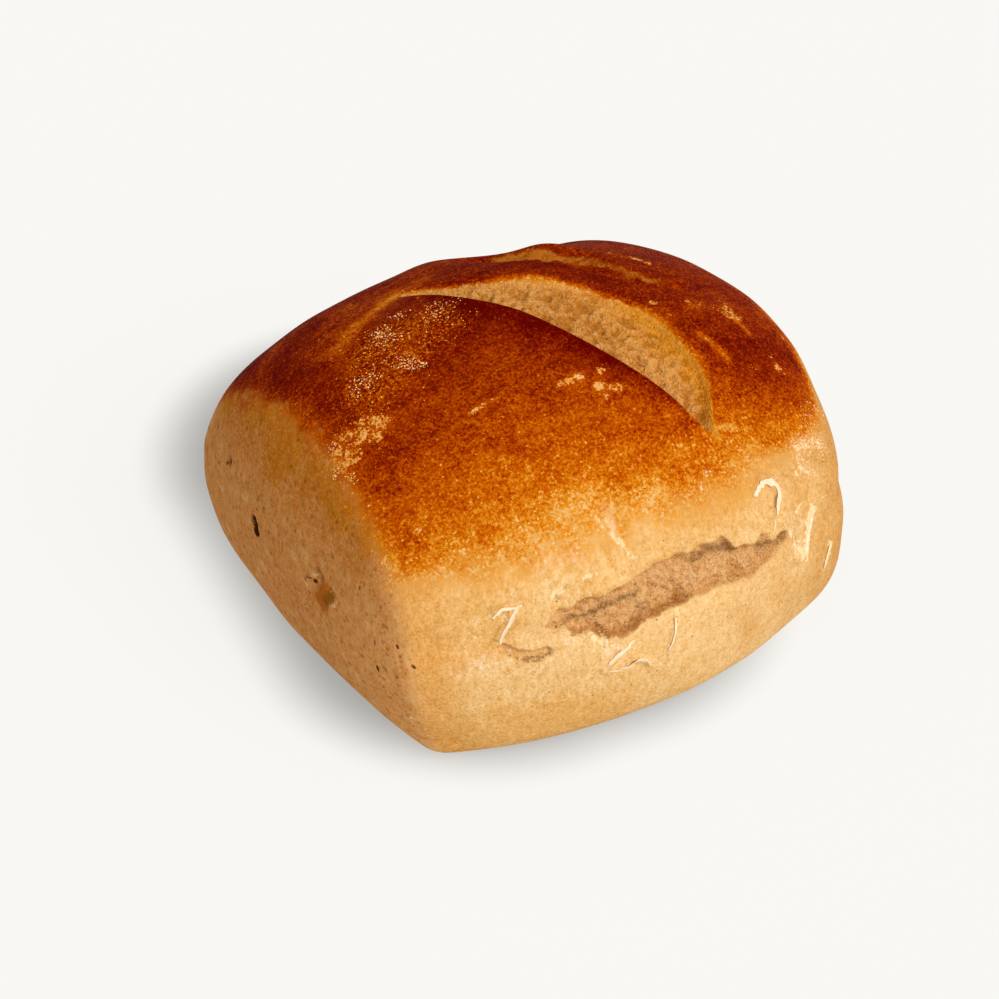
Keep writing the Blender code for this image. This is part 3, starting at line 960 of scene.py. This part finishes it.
class Shades:
    """Short names for the nodes that the materials are made of."""

    def __init__(self, tree):
        self.tree = tree
        self.place = self.add("ShaderNodeTexCoord").outputs["Object"]

    def add(self, kind, inputs=(), **settings):
        node = self.tree.nodes.new(kind)
        for name, value in settings.items():
            setattr(node, name, value)
        self.feed(node, dict(inputs))
        return node

    def feed(self, node, inputs):
        """Link a node's inputs to other nodes, or set them to plain values."""
        for name, source in inputs.items():
            socket = node.inputs[name]
            if isinstance(source, Number):
                self.tree.links.new(source.socket, socket)
            elif isinstance(source, bpy.types.NodeSocket):
                self.tree.links.new(source, socket)
            elif socket.type == "RGBA":
                socket.default_value = (*source, 1.0)
            else:
                socket.default_value = source

    def math(self, operation, first, second, clamp=False):
        node = self.add("ShaderNodeMath", {0: first, 1: second}, operation=operation, use_clamp=clamp)
        return Number(self, node.outputs[0])

    def vector(self, operation, first, second=(0.0, 0.0, 0.0)):
        node = self.add("ShaderNodeVectorMath", {0: first, 1: second}, operation=operation)
        return node.outputs["Value" if operation == "LENGTH" else "Vector"]

    def field(self, name):
        return Number(self, self.add("ShaderNodeAttribute", attribute_name=name).outputs["Fac"])

    def scaled(self, scale):
        return self.add("ShaderNodeMapping", {"Vector": self.place, "Scale": scale}).outputs[0]

    def noise(self, size_mm, detail, stretch=(1.0, 1.0, 1.0), roughness=0.5):
        """Noise around 0, with features about this size."""
        place = self.scaled([share / (size_mm * MM) for share in stretch])
        inputs = {"Vector": place, "Scale": 1.0, "Detail": detail, "Roughness": roughness}
        return self.math("SUBTRACT", self.add("ShaderNodeTexNoise", inputs).outputs["Fac"], 0.5)

    def dots(self, size_mm, radius, share):
        """1 in small round dots, in this share of cells of this size."""
        place = self.scaled([1.0 / (size_mm * MM)] * 3)
        cells = self.add("ShaderNodeTexVoronoi", {"Vector": place, "Scale": 1.0})
        near = self.step(cells.outputs["Distance"], radius, 0.5 * radius)
        picked = self.add("ShaderNodeSeparateColor", {0: cells.outputs["Color"]})
        return near * self.step(picked.outputs[0], share, share - 0.02)

    def step(self, value, start, end):
        """0 at start and 1 at end, with an S between, whichever of them is larger."""
        inputs = {
            "Value": value,
            "From Min": min(start, end),
            "From Max": max(start, end),
            "To Min": float(start > end),
            "To Max": float(start < end),
        }
        node = self.add("ShaderNodeMapRange", inputs, interpolation_type="SMOOTHSTEP")
        return Number(self, node.outputs[0])

    def mix(self, share, first, second, blend="MIX"):
        inputs = {"Factor": share, "A": first, "B": second}
        return self.add("ShaderNodeMix", inputs, data_type="RGBA", blend_type=blend).outputs["Result"]

    def tinted(self, colour, amount):
        """A colour made lighter and greyer where the amount is over 0, darker and browner under it."""
        tint = self.mix(self.math("ADD", amount, 0.5, clamp=True), DARKER, LIGHTER)
        return self.mix(1.0, colour, tint, "MULTIPLY")

    def ramp(self, value, stops):
        node = self.add("ShaderNodeValToRGB", {"Fac": value})
        band = node.color_ramp
        while len(band.elements) < len(stops):
            band.elements.new(0.5)
        for element, (place, colour) in zip(band.elements, stops):
            element.position = place
            element.color = (*colour, 1.0)
        return node.outputs["Color"]


def new_material(name):
    """A material, the maker of its nodes and its shader."""
    material = bpy.data.materials.new(name)
    material.use_nodes = True
    return material, Shades(material.node_tree), material.node_tree.nodes["Principled BSDF"]


# Colours of the crust as it browns, then of the pale skin, the crumb and what lies on them
CRUST_STOPS = (
    (0.0, (0.715, 0.44, 0.17)),
    (0.12, (0.68, 0.32, 0.065)),
    (0.27, (0.605, 0.205, 0.006)),
    (0.5, (0.46, 0.085, 0.0)),
    (0.68, (0.34, 0.040, 0.0)),
    (0.84, (0.20, 0.011, 0.0)),
    (1.0, (0.095, 0.0005, 0.0)),
)
WHITE_SKIN = (0.78, 0.54, 0.29)
ORANGE_SKIN = (0.62, 0.30, 0.065)
LEFT_SIDE = (0.50, 0.195, 0.045)
LEFT_DARK = (0.36, 0.12, 0.016)
LEFT_TOP = (0.43, 0.140, 0.009)
LEFT_SPOT = (0.22, 0.062, 0.006)
LEFT_FRONT = (0.62, 0.27, 0.075)
CORNER = (0.60, 0.275, 0.06)
RIGHT_SIDE = (0.55, 0.26, 0.06)
# Crumb with painted shade, under the slash's near lip
SHADED_NEAR_CRUMB = (0.42, 0.15, 0.024)
MIDDLE_CRUMB = (0.64, 0.262, 0.05)
FAR_CRUMB = (0.62, 0.215, 0.014)
GREY_CRUMB = (0.24, 0.10, 0.018)
BAKED_CRUMB = (0.46, 0.145, 0.012)
TEAR_MIDDLE = (0.66, 0.33, 0.105)
TEAR_TOP_SHADE = (0.19, 0.075, 0.016)
TEAR_LOW_SHADE = (0.40, 0.155, 0.034)
# Painted shade in pores and holes, near black
PORE_SHADE = (0.03, 0.002, 0.0)
BRAN = (0.14, 0.05, 0.016)
TOP_FLOUR_COLOUR = (0.56, 0.22, 0.02)
GRAIN_COLOUR = (0.98, 0.58, 0.22)
GOLDEN_GRAIN_COLOUR = (0.98, 0.42, 0.03)
WHITE_FLOUR_COLOUR = (0.90, 0.60, 0.33)
BLISTER_COLOUR = (0.17, 0.062, 0.003)
BLISTER_GOLD = (0.36, 0.085, 0.001)
FLAKE_COLOUR = (0.88, 0.62, 0.34)
SKIN_CURL = (0.94, 0.70, 0.45)

# What a colour is multiplied by to make it darker and browner, or lighter and greyer, and to what
# share of its colour a plain material is mottled
DARKER = (0.80, 0.68, 0.42)
LIGHTER = (1.18, 1.32, 1.75)
MOTTLED_TO = 0.82


def brown_colour(s, grain, blotchy):
    """The browned crust: darker with browning, mottled, with golden flecks, scuffs and dust."""
    browned = s.field("browning")
    clouds = s.noise(7.0, 3.0)
    streaks = s.noise(2.6, 4.0, stretch=(0.35, 1.0, 1.0))
    flecks = s.step(s.noise(0.9, 3.0, roughness=0.65) + 0.4 * streaks, 0.08, 0.18)
    in_gold = s.step(browned, 0.02, 0.2) * s.step(browned, 0.75, 0.3)
    mottling = 0.74 * grain + 0.3 * clouds + 0.4 * streaks - 0.12 * flecks - 0.14 * (flecks * in_gold)
    mottling = mottling - 0.3 * s.dots(0.8, 0.3, 0.25) + 0.045
    strength = 0.88 * s.step(browned, 0.0, 0.2) - 0.36 * s.step(browned, 0.6, 0.95) + 0.12
    level = browned + mottling * strength
    scuff = s.field("scuff")
    scuffed = s.step(0.5 * scuff + 1.5 * blotchy, 0.34, 0.66) * s.step(scuff, 0.02, 0.2)
    level = level * (1.0 - 0.88 * scuffed)
    golden = s.field("golden")
    dusted = s.step(0.5 * golden + 2.4 * s.noise(0.55, 2.0, roughness=0.7), 0.5, 0.85)
    level = level - 0.38 * (dusted * s.step(golden, 0.02, 0.3))
    return s.ramp(s.math("ADD", level, 0.0, clamp=True), CRUST_STOPS)


def pale_colour(s, colour, grain):
    """The sides that touched other rolls: golden skin with smears and a painted highlight, and a darker
    left side.
    """
    worn = 0.8 * grain + 0.9 * s.noise(2.0, 4.0, roughness=0.65)
    left = s.step(s.field("left_side") + worn, 0.22, 0.84)
    left = left * s.step(s.field("left_end") + 0.6 * worn, 0.1, 0.9)
    pale = s.math("MAXIMUM", s.step(s.field("browning"), 0.35, 0.08), left)
    upright = s.noise(0.9, 3.0, stretch=(1.0, 1.0, 0.4), roughness=0.6)
    cloudy = s.noise(5.0, 3.0)
    # Whiter smears, and a painted highlight along the upright crease
    whiter_and_highlight = s.step(0.45 * s.field("whiter_and_highlight") + 0.5 * cloudy + 0.6 * upright, 0.06, 0.5)
    colour = s.mix(whiter_and_highlight * (0.8 * pale), colour, WHITE_SKIN)
    oranger = s.step(0.45 * s.field("oranger") - 0.5 * cloudy - 0.5 * upright, 0.04, 0.5)
    colour = s.mix(oranger * (0.7 * pale), colour, ORANGE_SKIN)
    colour = s.mix(s.field("corner") * pale * 0.85, colour, CORNER)
    colour = s.mix(s.field("right_side") * (0.9 * pale), colour, RIGHT_SIDE)
    colour = s.mix(left, colour, left_colour(s, grain))
    rough = (grain + 0.55 * upright) * (1.2 + 0.7 * left)
    colour = s.tinted(colour, rough * pale)
    spots = 0.45 * s.dots(1.7, 0.32, 0.7) + 0.38 * s.dots(1.0, 0.34, 0.7) + 0.75 * s.dots(3.1, 0.17, 0.9)
    colour = s.mix(spots * left, colour, LEFT_SPOT)
    specks = s.dots(2.4, 0.10, 0.3) + s.dots(1.5, 0.09, 0.12)
    return s.mix(specks * pale * 0.7, colour, BRAN)


def left_colour(s, grain):
    """The left side's tan skin, golden at its top and lighter towards the front."""
    blotched = s.step(s.noise(2.2, 5.0, roughness=0.65) + 0.5 * grain, 0.0, 0.3)
    skin = s.mix(s.field("left_front"), LEFT_SIDE, LEFT_FRONT)
    skin = s.mix(0.55 * blotched, skin, LEFT_DARK)
    patches = 1.1 * s.noise(6.0, 2.0) + 1.3 * s.noise(1.6, 4.0, roughness=0.7)
    return s.mix(s.step(s.field("left_top") + patches, 0.3, 1.1), skin, LEFT_TOP)


def slash_crumb(s, grain, clots, hollow_shade):
    """The crumb of the slashes: painted shade under the near lip, golden by the far lip, with grey and
    pores of painted shade.
    """
    share = s.field("slash_share") + 0.9 * s.noise(3.0, 4.0, roughness=0.6)
    crumb = s.mix(s.step(share, -0.05, 0.3), SHADED_NEAR_CRUMB, MIDDLE_CRUMB)
    crumb = s.mix(s.step(share, 0.55, 0.95), crumb, FAR_CRUMB)
    grey = s.step(clots + 0.4 * s.field("grey"), 0.14, 0.3)
    crumb = s.mix(0.75 * grey, crumb, GREY_CRUMB)
    # Painted shade in the crumb's hollows and lighter crumb on its bumps, with mottling
    crumb = s.tinted(crumb, 1.9 * grain + 1.7 * clots + hollow_shade + s.noise(6.0, 2.0))
    pores = s.dots(1.3, 0.2, 0.35) + s.dots(0.8, 0.24, 0.3)
    return s.mix(pores * s.step(share, 1.0, 0.5) * 0.65, crumb, PORE_SHADE)


def torn_crumb(s, grain, clots, hollow_shade):
    """The stringy crumb of the tear: pale in its middle, with painted shade low down, along dark lines
    and in its pores.
    """
    fibres = s.noise(0.8, 4.0, stretch=(1.0, 1.0, 0.35), roughness=0.7)
    low = s.step(s.field("tear_low_shade") + 1.2 * clots + 2.2 * fibres, 0.4, 1.1)
    torn = s.mix(0.9 * low, TEAR_MIDDLE, TEAR_LOW_SHADE)
    shaded = s.step(0.7 * s.field("tear_shade") + 0.9 * grain + 0.9 * clots, 0.25, 0.95)
    torn = s.mix(0.9 * shaded, torn, TEAR_TOP_SHADE)
    # Painted shade in the tear's hollows and lighter crumb on its bumps, with mottling
    torn = s.tinted(torn, 1.3 * grain + 1.4 * fibres + clots + 0.5 * hollow_shade)
    torn = s.mix(0.4 * s.dots(0.7, 0.34, 0.5), torn, TEAR_TOP_SHADE)
    return s.mix(0.6 * s.dots(1.0, 0.22, 0.3), torn, PORE_SHADE)


def crumb_colours(s, colour, grain):
    """The golden band by the second slash, then the bare crumb of the slashes and of the tear."""
    clots = s.noise(2.2, 4.0, roughness=0.6)
    # Below 0 where the crumb is sunk, which darkens it as painted shade
    hollow_shade = 0.5 - s.field("cavity_shade")
    ragged = 0.9 * grain + 0.5 * clots
    streaky = grain + s.noise(4.0, 4.0, stretch=(1.0, 2.5, 1.0), roughness=0.65)
    baked = s.step(0.8 * s.field("baked") + 0.9 * streaky, 0.3, 0.85)
    colour = s.mix(0.9 * baked, colour, BAKED_CRUMB)
    slashed = s.step(s.field("slash") + 0.7 * ragged, 0.35, 0.65)
    colour = s.mix(slashed, colour, slash_crumb(s, grain, clots, hollow_shade))
    torn = s.step(s.field("tear") + ragged, 0.38, 0.56)
    return s.mix(torn, colour, torn_crumb(s, grain, clots, hollow_shade))


def covered(s, colour, field, over, speckle, strength, edges):
    """Lay a broken cover of another colour where a field is strong."""
    amount = s.field(field)
    broken = s.step(0.6 * amount + speckle, *edges)
    return s.mix(broken * s.step(amount, 0.02, 0.12) * strength, colour, over)


def crust_material():
    material, s, shader = new_material("roll_crust")
    grain = 1.7 * s.noise(0.52, 2.0, roughness=0.8) + 0.55 * s.noise(1.5, 2.0)
    blotchy = 0.7 * grain + s.noise(2.4, 4.0, roughness=0.65)
    speckle = grain + 0.5 * s.noise(2.2, 3.0)
    sharp = 2.0 * s.noise(0.6, 2.0, roughness=0.7)
    wispy = 0.6 * grain + s.noise(0.9, 3.0, stretch=(1.0, 1.0, 0.4), roughness=0.6)
    colour = brown_colour(s, grain, blotchy)
    colour = pale_colour(s, colour, grain)
    colour = crumb_colours(s, colour, grain)
    for cover in (
        ("scuff", WHITE_FLOUR_COLOUR, sharp, 0.5, (0.8, 1.1)),
        ("flour", TOP_FLOUR_COLOUR, sharp, 0.6, (0.55, 0.85)),
        ("white_flour", WHITE_FLOUR_COLOUR, speckle, 0.85, (0.35, 0.6)),
        ("flake", FLAKE_COLOUR, wispy, 0.8, (0.3, 0.55)),
        ("blister_rim", FLAKE_COLOUR, wispy, 0.4, (0.3, 0.6)),
        ("blister", BLISTER_GOLD, 0.6 * blotchy, 0.85, (0.25, 0.5)),
        ("blister_shade", BLISTER_COLOUR, 0.6 * blotchy, 0.75, (0.2, 0.6)),
        # Painted shade in the front's small holes and in the left side's holes
        ("front_hole_shade", TEAR_TOP_SHADE, 1.1 * speckle, 0.75, (0.3, 0.7)),
        ("hole", PORE_SHADE, 0.3 * speckle, 0.93, (0.3, 0.6)),
    ):
        colour = covered(s, colour, *cover)
    bare = s.math("MAXIMUM", s.field("slash"), s.field("tear"))
    height_mm = grain * (0.10 + 0.35 * bare)
    bump = s.add("ShaderNodeBump", {"Height": height_mm, "Strength": 1.0, "Distance": MM})
    s.feed(shader, {
        "Base Color": colour,
        "Roughness": 0.6,
        "Specular IOR Level": 0.005,
        "Normal": bump.outputs[0],
    })
    return material


def plain_material(name, colour):
    """A dull material, mottled a little darker in places."""
    material, s, shader = new_material(name)
    light = s.step(s.noise(0.8, 3.0), -0.25, 0.25)
    shade = s.mix(light, [MOTTLED_TO * part for part in colour], colour)
    s.feed(shader, {"Base Color": shade, "Roughness": 0.8, "Specular IOR Level": 0.1})
    return material


def new_object(name, data):
    item = bpy.data.objects.new(name, data)
    bpy.context.scene.collection.objects.link(item)
    return item


def new_piece(name, mesh, material):
    """A piece of the roll, which rides on its body and stands for its solid."""
    piece = new_object(name, mesh)
    mesh.materials.append(material)
    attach(piece, "root")
    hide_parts("bread_roll")
    return piece


def new_mesh(name, points, faces):
    mesh = bpy.data.meshes.new(name)
    mesh.from_pydata(points, [], faces)
    mesh.update()
    return mesh


def round_grain():
    """The corners and faces of a small sphere."""
    sphere = bmesh.new()
    bmesh.ops.create_icosphere(sphere, subdivisions=1, radius=1.0)
    corners = np.array([point.co[:] for point in sphere.verts])
    faces = np.array([[point.index for point in face.verts] for face in sphere.faces])
    sphere.free()
    return corners, faces


# The share of its size by which each grain's middle lies under the surface
GRAIN_SINK = 0.15


def grains_mesh(name, surface, clumps, smallest, largest, seed):
    """Small rough grains that lie on the surface round each clump's middle."""
    chance = np.random.default_rng(seed)
    corners, faces = round_grain()
    all_points = []
    all_faces = []
    for middle, spread, count in clumps:
        for _ in range(count):
            wanted = np.array(middle) + chance.normal(size=3) * spread
            place, normal, _, _ = surface.find_nearest(Vector(wanted * MM))
            size = smallest * (largest / smallest) ** chance.random() ** 1.6
            rough = corners * chance.uniform(0.55, 1.25, size=(len(corners), 1))
            shape = rough * chance.uniform(0.6, 1.0, size=3)
            centre = np.array(place) - np.array(normal) * GRAIN_SINK * size * MM
            all_faces.append(faces + len(corners) * len(all_points))
            all_points.append(centre + shape * size * MM)
    return new_mesh(name, np.concatenate(all_points).tolist(), np.concatenate(all_faces).tolist())


# Curls of skin on the front side: x and z along each, its width, how far its free edge lifts,
# and which side that edge is on
CURLS = (
    (((-33.8, 33.2), (-32.4, 34.9), (-30.7, 34.9), (-29.0, 35.0)), 0.6, 0.5, 1.0),
    (((-29.6, 35.2), (-30.6, 34.1), (-31.8, 32.2), (-32.8, 30.4), (-33.1, 28.0)), 0.65, 0.7, -1.0),
    ((
        (17.9, 37.4), (19.2, 38.0), (20.8, 38.2), (22.3, 37.8),
        (23.4, 36.8), (23.2, 35.8), (22.2, 34.8), (21.3, 33.6),
    ), 1.3, 0.7, 1.0),
    (((20.8, 32.8), (20.4, 32.0), (19.8, 31.2)), 0.3, 0.3, 1.0),
    (((-16.5, 21.0), (-14.5, 22.8), (-11.4, 24.3)), 0.6, 0.6, 1.0),
    ((
        (-16.5, 19.7), (-14.0, 19.2), (-12.2, 19.0), (-10.9, 20.3), (-9.7, 19.8), (-8.2, 17.6),
    ), 0.7, 0.6, -1.0),
    (((-3.2, 25.6), (-3.9, 22.1), (-4.9, 19.8)), 0.6, 0.5, 1.0),
    (((29.9, 29.8), (29.0, 28.2), (27.6, 26.0), (26.4, 23.6)), 0.7, 0.5, -1.0),
    (((34.3, 21.3), (33.6, 19.4), (32.8, 16.4)), 0.5, 0.4, 1.0),
)

# Every curl: the spacing of its rows in mm, its points across, how far it turns in radians from
# its root to its free edge, its thickness in mm, and the y in metres that it is looked for from
CURL_SPACING = 0.25
CURL_COLUMNS = 7
CURL_TURN = 1.5
CURL_THICKNESS = 0.14
CURL_RAY_FROM = -0.08


def curl_points(surface, line, width, lift, side, chance):
    """Rows of points across a curl, from its rooted edge to its free edge."""
    path = np.array(line)
    lengths = np.concatenate([[0.0], np.cumsum(np.linalg.norm(np.diff(path, axis=0), axis=1))])
    count = max(10, int(lengths[-1] / CURL_SPACING))
    share = np.linspace(0.0, 1.0, count)
    x, z = [smooth_through(list(zip(lengths / lengths[-1], values)), share) for values in path.T]
    ragged = np.interp(share, np.linspace(0, 1, count // 2), chance.uniform(0.45, 1.25, count // 2))
    widths = width * ragged * np.sin(np.pi * np.clip(share, 0.04, 0.96)) ** 0.3
    rows = []
    for place in range(count):
        start = Vector((x[place] * MM, CURL_RAY_FROM, z[place] * MM))
        hit, normal, _, _ = surface.ray_cast(start, Vector((0, 1, 0)))
        ahead = min(place + 1, count - 1)
        behind = max(place - 1, 0)
        run = Vector((x[ahead] - x[behind], 0.0, z[ahead] - z[behind])).normalized()
        out = normal.lerp(Vector((0, -1, 0)), 0.5).normalized()
        sideways = run.cross(out).normalized() * side
        row = []
        for step in range(CURL_COLUMNS):
            turn = CURL_TURN * step / (CURL_COLUMNS - 1)
            reach = (np.sin(turn) - 0.5) * widths[place] * MM
            height = lift * widths[place] / width * (1.0 - np.cos(turn)) * 0.6 * MM
            row.append(hit + sideways * reach + out * (height + 0.02 * MM))
        rows.append(row)
    return rows


def curls_mesh(surface):
    """All curls as sheets, which get their thickness from a modifier."""
    chance = np.random.default_rng(81)
    points = []
    faces = []
    for line, width, lift, side in CURLS:
        rows = curl_points(surface, line, width, lift, side, chance)
        for r in range(len(rows) - 1):
            for c in range(CURL_COLUMNS - 1):
                corner = len(points) + r * CURL_COLUMNS + c
                faces.append((corner, corner + 1, corner + CURL_COLUMNS + 1, corner + CURL_COLUMNS))
        points.extend(point[:] for row in rows for point in row)
    mesh = new_mesh("skin_curls", points, faces)
    mesh.shade_smooth()
    return mesh


# Single grains where the photo shows them, dark bran first and then white crumbs of skin: the
# middle of each clump, its spread in mm and its grains
BRAN_SPECKS = (
    *(((x, -44.0, z), 0.05, 1) for x, z in (
        (-24.1, 16.9), (-37.3, 16.3), (-41.9, 16.1), (-15.2, 36.5), (-9.5, 40.8), (-22.0, 38.5),
        (19.3, 34.8), (30.3, 27.3), (7.3, 12.5), (-3.0, 39.0), (12.0, 21.0), (-30.5, 14.0),
    )),
    *(((-50.5, y, z), 0.25, 3) for y, z in ((-4.5, 37.0), (-2.0, 26.0), (4.0, 33.0), (12.0, 20.0))),
)
WHITE_CRUMBS = (
    ((-46.4, -29.4, 13.3), 0.3, 5),
    ((-44.8, -30.9, 10.9), 0.2, 4),
    ((-43.4, -28.4, 4.8), 0.5, 9),
    ((-43.8, -30.7, 7.9), 0.4, 8),
    ((-45.8, -28.6, 14.8), 0.3, 4),
    ((-19.0, -41.0, 37.3), 0.2, 3),
    ((-13.6, -41.0, 36.4), 0.2, 2),
    ((-38.8, -40.0, 31.9), 0.3, 3),
)


def build_roll():
    mesh = crust_mesh()
    new_piece("crust", mesh, crust_material())
    whole = bmesh.new()
    whole.from_mesh(mesh)
    surface = BVHTree.FromBMesh(whole)
    whole.free()
    for name, clumps, sizes, colour, seed in (
        ("pale_flour", TOP_FLOUR, (0.09, 0.27), GRAIN_COLOUR, 91),
        ("golden_flour", GOLDEN_FLOUR, (0.08, 0.22), GOLDEN_GRAIN_COLOUR, 94),
        ("white_flour", SIDE_FLOUR + WHITE_CRUMBS, (0.07, 0.24), WHITE_FLOUR_COLOUR, 92),
        ("bran_specks", BRAN_SPECKS, (0.1, 0.2), BRAN, 93),
    ):
        new_piece(name, grains_mesh(name, surface, clumps, *sizes, seed), plain_material(name, colour))
    curls = new_piece("skin_curls", curls_mesh(surface), plain_material("curled_skin", SKIN_CURL))
    thick = curls.modifiers.new("thickness", "SOLIDIFY")
    thick.thickness = CURL_THICKNESS * MM
    thick.offset = 0.0


# The floor: its half width in metres, its colour, and the colour and strength of its glow
FLOOR_REACH = 3.0
FLOOR_COLOUR = (0.10, 0.10, 0.098)
FLOOR_GLOW = (1.0, 0.99, 0.953)
GLOW_STRENGTH = 0.835

# The painted shadow under and behind the roll, which dims the floor's glow: its middle, its turn, the
# half size of its core, how far it reaches at full and at no strength, and its strength
SHADE_MIDDLE = (-2.6, 25.0)
SHADE_TURN = -0.146
SHADE_CORE = (6.8, 26.8)
SHADE_REACH = (30.4, 46.8)
SHADE_STRENGTH = 0.55


def painted_floor_shadow(s):
    """How much of the floor's glow is left under the painted shadow, by its distance from the shadow's
    core.
    """
    turned = {
        "Vector": s.place,
        "Location": [place * MM for place in SHADE_MIDDLE] + [0.0],
        "Rotation": (0.0, 0.0, SHADE_TURN),
    }
    local = s.add("ShaderNodeMapping", turned, vector_type="TEXTURE").outputs[0]
    core = [half * MM for half in SHADE_CORE] + [0.0]
    beyond = s.vector("SUBTRACT", s.vector("ABSOLUTE", local), core)
    away = s.vector("LENGTH", s.vector("MAXIMUM", beyond))
    start, end = SHADE_REACH
    return 1.0 - SHADE_STRENGTH * s.step(away, end * MM, start * MM)


def floor():
    """A pale floor that glows like a light table, dimmed by a painted shadow of the roll."""
    square = ((-1, -1), (1, -1), (1, 1), (-1, 1))
    corners = [(x * FLOOR_REACH, y * FLOOR_REACH, 0.0) for x, y in square]
    mesh = new_mesh("floor", corners, [(0, 1, 2, 3)])
    material, s, shader = new_material("floor")
    s.feed(shader, {
        "Base Color": FLOOR_COLOUR,
        "Emission Color": FLOOR_GLOW,
        "Emission Strength": GLOW_STRENGTH * painted_floor_shadow(s),
        "Roughness": 1.0,
        "Specular IOR Level": 0.0,
    })
    mesh.materials.append(material)
    ground = new_object("floor", mesh)


# The light: the strength of the white surroundings, then the soft sun's azimuth, 0 the front and
# 90 the right, its elevation, its strength and its width, with all angles in degrees
SURROUNDINGS = 0.55
SUN_AZIMUTH = 10.0
SUN_ELEVATION = 42.0
SUN_STRENGTH = 2.6
SUN_WIDTH = 40.0


def lights():
    world = bpy.data.worlds.new("studio")
    world.use_nodes = True
    background = world.node_tree.nodes["Background"]
    background.inputs["Color"].default_value = (1.0, 1.0, 1.0, 1.0)
    background.inputs["Strength"].default_value = SURROUNDINGS
    bpy.context.scene.world = world
    lamp = bpy.data.lights.new("key", "SUN")
    lamp.energy = SUN_STRENGTH
    lamp.angle = np.radians(SUN_WIDTH)
    turn = np.radians(SUN_AZIMUTH)
    rise = np.radians(SUN_ELEVATION)
    towards = Vector((np.sin(turn) * np.cos(rise), -np.cos(turn) * np.cos(rise), np.sin(rise)))
    new_object("key", lamp).rotation_euler = towards.to_track_quat("Z", "Y").to_euler()


# The camera: its focal length and sensor in mm, its place in mm, and its own axes
CAMERA_LENS = 104.73
CAMERA_SENSOR = 36.0
CAMERA_PLACE = (-229.02, -334.09, 345.85)
CAMERA_RIGHT = (0.83582, -0.54901, 0.0)
CAMERA_UP = (0.34417, 0.52398, 0.77910)
CAMERA_BACK = (-0.42773, -0.65118, 0.62690)


def camera():
    lens = bpy.data.cameras.new("camera")
    lens.sensor_width = CAMERA_SENSOR
    lens.lens = CAMERA_LENS
    lens.clip_start = 0.01
    holder = new_object("camera", lens)
    turn = Matrix([CAMERA_RIGHT, CAMERA_UP, CAMERA_BACK]).transposed().to_4x4()
    holder.matrix_world = Matrix.Translation(Vector(CAMERA_PLACE) * MM) @ turn
    bpy.context.scene.camera = holder


def main():
    build_roll()
    floor()
    lights()
    camera()
    bpy.context.scene.view_settings.view_transform = "Standard"


main()
